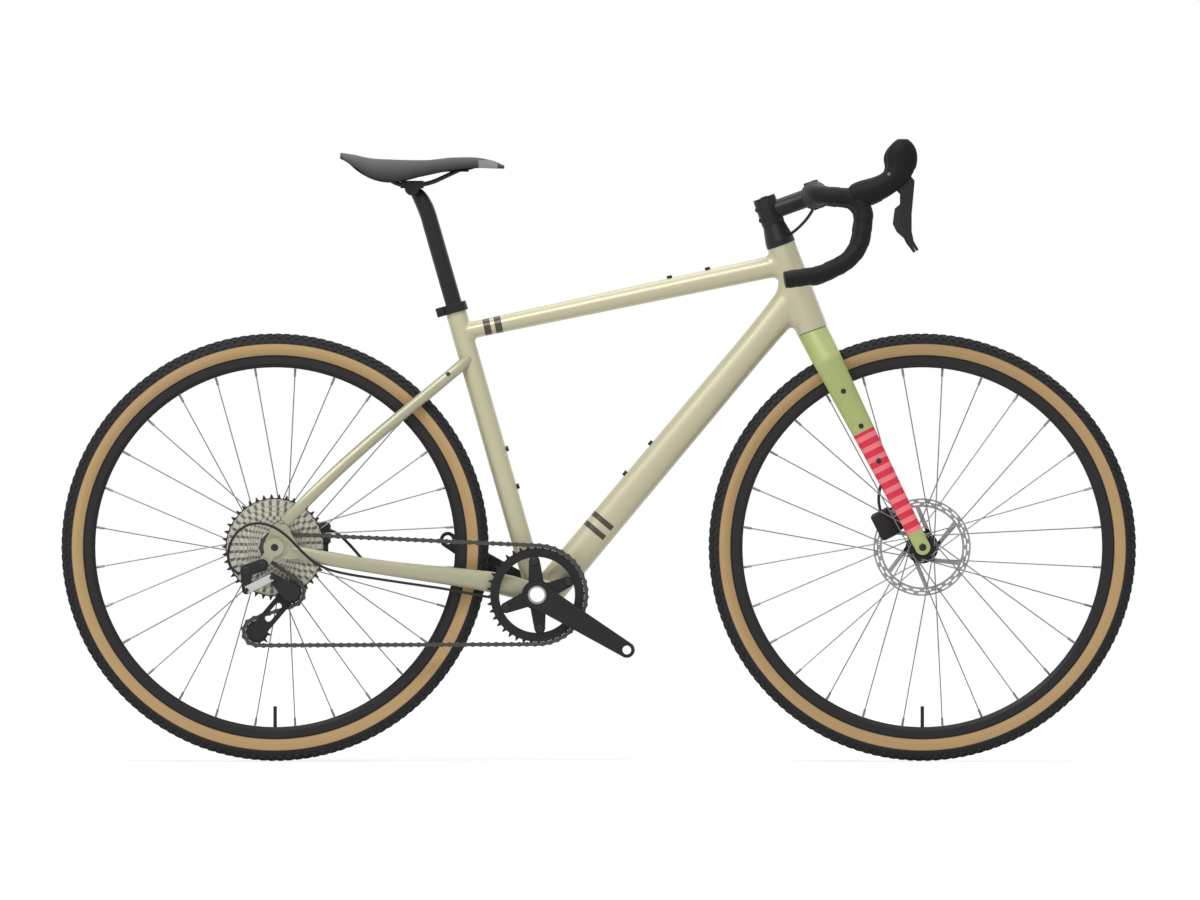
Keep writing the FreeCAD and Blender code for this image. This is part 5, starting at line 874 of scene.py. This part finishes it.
knobShape = knobTool()
makeTyre("rearTyre", rearAxle, tyreFinish("rearTyreRubber", rearCentre), "rear_wheel", "rear_tyre")
makeTyre("frontTyre", frontAxle, tyreFinish("frontTyreRubber", frontCentre), "front_wheel", "front_tyre")
print("stage: tyres made")

# Handlebar wrap: a ribbon wound along the bar's own line
# route: forward, outward and upward from the bar's middle; plugRings: radius and distance past the end
barWrap = {
    "route": ((0, 66, 0), (0, 205, 0), (84, 205, -7), (73, 213, -100), (8, 224, -132), (-48, 231, -140)),
    "radii": (44, 32, 68, 90), "arcSteps": 12, "spacing": 2.0, "around": 40,
    "barRadius": 12, "base": 14.0, "pitch": 21, "lap": 0.8, "lapPeak": 0.9, "endTaper": 3,
    "topSwell": 7.5, "topLong": 60, "topFade": 70,
    "plugRings": ((14.2, 0.2), (14.4, 1.2), (13.2, 2.2), (8.0, 2.8), (2.0, 3.0)),
}
wrapSkin = surface("barWrapSkin", linear(24, 23, 24), scale=1100, spread=0.5, rough=0.55, roughSpread=0.15,
                   bump=0.25, depth=0.4, specular=0.15)


def roundedLine(points, radii, spacing):
    # Runs joined by tangent arcs, walked at even spacing
    line = [points[0]]
    for before, corner, after, radius in zip(points, points[1:], points[2:], radii):
        back = (before - corner).normalized()
        ahead = (after - corner).normalized()
        halfTurn = back.angle(ahead) / 2
        setback = radius / math.tan(halfTurn)
        centre = corner + (back + ahead).normalized() * (radius / math.sin(halfTurn))
        first = corner + back * setback - centre
        last = corner + ahead * setback - centre
        for step in range(barWrap["arcSteps"] + 1):
            line.append(centre + first.lerp(last, step / barWrap["arcSteps"]).normalized() * radius)
    line.append(points[-1])
    walked = [line[0]]
    for start, end in zip(line, line[1:]):
        count = max(1, round((end - start).length / spacing))
        walked.extend(start.lerp(end, (step + 1) / count) for step in range(count))
    return walked


def sweep(line, around, radiusAt):
    # Rings along a line; radiusAt takes the travel and the turn
    points = []
    side = (line[1] - line[0]).orthogonal().normalized()
    travel = 0
    for number, spot in enumerate(line):
        ahead = (line[min(number + 1, len(line) - 1)] - line[max(number - 1, 0)]).normalized()
        side = (side - ahead * side.dot(ahead)).normalized()
        up = ahead.cross(side)
        if number:
            travel += (spot - line[number - 1]).length
        for step in range(around):
            turn = 2 * math.pi * step / around
            out = side * math.cos(turn) + up * math.sin(turn)
            points.append(spot + out * radiusAt(travel, step / around))
    return points


def makeWrap(name, side):
    route = [barMiddle + Vector((x, side * y, z)) for x, y, z in barWrap["route"]]
    line = roundedLine(route, barWrap["radii"], barWrap["spacing"])
    total = sum((end - start).length for start, end in zip(line, line[1:]))

    def radiusAt(travel, turn):
        # Overlapping laps that are thicker near the stem and thin out at both ends
        lap = (travel / barWrap["pitch"] + side * turn) % 1
        rise = min(lap / barWrap["lapPeak"], (1 - lap) / (1 - barWrap["lapPeak"]))
        edge = min(1, travel / barWrap["endTaper"], (total - travel) / barWrap["endTaper"])
        fade = min(max((travel - barWrap["topLong"]) / barWrap["topFade"], 0), 1)
        swell = barWrap["topSwell"] * (1 + math.cos(math.pi * fade)) / 2
        thick = barWrap["base"] - barWrap["barRadius"] + swell + barWrap["lap"] * rise
        return barWrap["barRadius"] + thick * max(edge, 0)

    around = barWrap["around"]
    points = sweep(line, around, radiusAt)
    tail = (line[-1] - line[-2]).normalized()
    endRing = [(point - line[-1]).normalized() for point in points[-around:]]
    for reach, out in barWrap["plugRings"]:
        points.extend(line[-1] + tail * out + spoke * reach for spoke in endRing)
    rings = len(points) // around
    faces = gridFaces(rings, around, closed=False) + [ringFace(rings - 1, around)]
    newPiece(name, points, faces, wrapSkin, "steering", ["bar_tape"])


makeWrap("barWrapRight", -1)
makeWrap("barWrapLeft", 1)
print("stage: bar wrap made")

# Saddle cover: a crowned pad with a shallow channel
# shares: place along the saddle, then crown, flank height and half width as shares of tall and halfWide
saddle = {
    "shares": ((0.012, 0.21, 0.256, 0.70), (0.078, 0.146, 0.487, 0.93), (0.198, 0.02, 0.897, 1.0),
               (0.335, -0.02, 1.0, 0.90), (0.467, -0.033, 0.795, 0.70), (0.635, 0.0, 0.59, 0.42),
               (0.814, 0.018, 0.46, 0.28), (0.934, -0.126, 0.323, 0.24), (0.994, -0.315, 0.146, 0.127)),
    "across": 28, "along": 56, "behindClamp": 121, "long": 274, "aboveClamp": 50, "tall": 39, "halfWide": 71,
    "roundness": 2.3, "thick": 11, "thinShare": 0.3, "lip": 2.5, "channelDeep": 3.4, "channelWide": 8.5,
    "channelFrom": 0.1, "channelTo": 0.66, "channelFade": 0.12, "flankShadeFade": 1.2, "flankShadeTint": linear(14, 14, 14),
    "patchX": (-197, -166), "patchZ": (973, 986), "patchTint": linear(118, 118, 120),
}


def saddleAt(share):
    # Smooth values between the stations: crown, flank height and half width
    rows = saddle["shares"]
    share = min(max(share, rows[0][0]), rows[-1][0])
    spot = max(number for number, row in enumerate(rows[:-1]) if row[0] <= share)
    near = [rows[min(max(spot + step, 0), len(rows) - 1)] for step in (-1, 0, 1, 2)]
    part = (share - near[1][0]) / (near[2][0] - near[1][0])
    square = part ** 2
    cube = part ** 3
    values = []
    for column in (1, 2, 3):
        before, first, second, after = [row[column] for row in near]
        ends = (2 * cube - 3 * square + 1) * first + (3 * square - 2 * cube) * second
        slopes = (cube - 2 * square + part) * (second - before) / 2 + (cube - square) * (after - first) / 2
        values.append(ends + slopes)
    return values


def saddleFinish():
    # Dark grey with painted shade that darkens it down the flanks, and a plain pale patch on the nose
    skin = surface("saddleSkin", linear(84, 83, 85), scale=900, spread=0.5, rough=0.55, bump=0.2, depth=0.3,
                   specular=0.12)
    lowness = addNode(skin.node_tree, "ShaderNodeAttribute", [("attribute_name", "lowness")]).outputs["Fac"]
    # Painted shade: darker the lower the skin lies on the flank, and fully dark on the underside
    overlay(skin, addMath(skin.node_tree, "POWER", lowness, saddle["flankShadeFade"]), saddle["flankShadeTint"])
    nose = between(skin, alongAxis(skin, (1, 0, 0)), *saddle["patchX"])
    flank = between(skin, alongAxis(skin, (0, 0, 1)), *saddle["patchZ"])
    overlay(skin, inBoth(skin, nose, flank), saddle["patchTint"])
    return skin


def makeSaddle():
    first = saddle["shares"][0][0]
    last = saddle["shares"][-1][0]
    arcs = []  # place across, its sine and how low the skin lies there
    for column in range(saddle["across"] + 1):
        t = 2 * column / saddle["across"] - 1
        side = math.sin(t * math.pi / 2)
        arcs.append((t, side, abs(side) ** saddle["roundness"]))
    points = []
    lows = []
    for row in range(saddle["along"] + 1):
        share = first + (last - first) * row / saddle["along"]
        crest, flank, half = saddleAt(share)
        crest = railClamp.z + saddle["aboveClamp"] + crest * saddle["tall"]
        flank *= saddle["tall"]
        half *= saddle["halfWide"]
        x = railClamp.x - saddle["behindClamp"] + share * saddle["long"]
        fadeIn = (share - saddle["channelFrom"]) / saddle["channelFade"]
        fadeOut = (saddle["channelTo"] - share) / saddle["channelFade"]
        channelDeep = saddle["channelDeep"] * max(0, min(1, fadeIn, fadeOut))
        underside = max(flank - saddle["thick"], flank * saddle["thinShare"])
        for t, side, low in arcs:
            channel = channelDeep * math.exp(-(half * t / saddle["channelWide"]) ** 2)
            points.append(Vector((x, half * side, crest - flank * low - channel)))
            lows.append(low)
        for t, side, low in reversed(arcs):
            points.append(Vector((x, (half - saddle["lip"]) * side, crest - flank + underside * (1 - low))))
            lows.append(1.0)
    columns = 2 * len(arcs)
    caps = [ringFace(0, columns), ringFace(saddle["along"], columns)]
    faces = gridFaces(saddle["along"] + 1, columns, closed=False) + caps
    piece = newPiece("saddleCover", points, faces, saddleFinish(), "saddle", ["saddle_cover"])
    layer = piece.data.attributes.new("lowness", "FLOAT", "POINT")
    for row, low in enumerate(lows):
        layer.data[row].value = low


makeSaddle()
print("stage: saddle made")

# Hoses and the shift housing, each on one smooth line
# Routes start at the rear axle or the bar's middle; the leg's is along, behind and y from the front axle
cordCurve = {"roundness": 5, "order": 3, "steps": 12}
cords = {
    "rearHose": {"radius": 2.5, "length": 76.6, "route": (
        (88, 58, 28), (101, 59, 24), (116, 61, 10), (131, 62, -6), (144, 61, -22))},
    "housing": {"radius": 2.2, "length": 533.9, "route": (
        (352, -33, -82), (292, -42, -70), (230, -51, -61), (170, -60, -52), (124, -67, -45), (88, -74, -37),
        (63, -84, -24), (42, -92, -4), (20, -95, 20), (-6, -95, 37), (-34, -95, 41), (-58, -94, 30),
        (-73, -93, 8), (-77, -93, -17), (-71, -92.5, -36), (-57, -92.5, -44))},
    "bar": {"radius": 2.5, "length": 99.1, "route": (
        (0, -66.5, -14.9), (-1, -52, -20), (-7, -33, -32), (-20, -18, -48), (-36, -9, -62), (-46, -5, -68))},
    "leg": {"radius": 2.5, "length": 54.3, "route": (
        (128, 6, 45), (120, 16, 43), (108, 25, 40), (96, 31, 37), (84, 34, 36))},
}
hoseSkin = surface("hoseSkin", linear(28, 28, 29), scale=800, spread=0.4, rough=0.45, bump=0.08, specular=0.3)


def cordPiece(name, points, cord, body, node):
    radius = cord["radius"]
    data = bpy.data.curves.new(name, "CURVE")
    data.dimensions = "3D"
    data.bevel_depth = radius * mm
    data.bevel_resolution = cordCurve["roundness"]
    data.use_fill_caps = True
    spline = data.splines.new("NURBS")
    spline.points.add(len(points) - 1)
    for spot, point in zip(spline.points, points):
        spot.co = (*(point * mm), 1)
    spline.order_u = cordCurve["order"]
    spline.use_endpoint_u = True
    spline.resolution_u = cordCurve["steps"]
    data.materials.append(hoseSkin)
    piece = addPiece(name, data, body, [node])


for name, label in (("rearBrakeHose", "rearHose"), ("shiftHousing", "housing")):
    points = [rearAxle + Vector(spot) for spot in cords[label]["route"]]
    cordPiece(name, points, cords[label], "frame", "frame_hoses")
for name, side in (("barHoseRight", 1), ("barHoseLeft", -1)):
    points = [barMiddle + Vector((x, side * y, z)) for x, y, z in cords["bar"]["route"]]
    cordPiece(name, points, cords["bar"], "steering", "front_hoses")
legBehind = Vector((legDown.z, 0, -legDown.x))
points = [frontAxle - legDown * along + legBehind * behind + sideways * y
          for along, behind, y in cords["leg"]["route"]]
cordPiece("frontBrakeHose", points, cords["leg"], "steering", "front_hoses")
print("stage: hoses made")

print("stage: scene done")
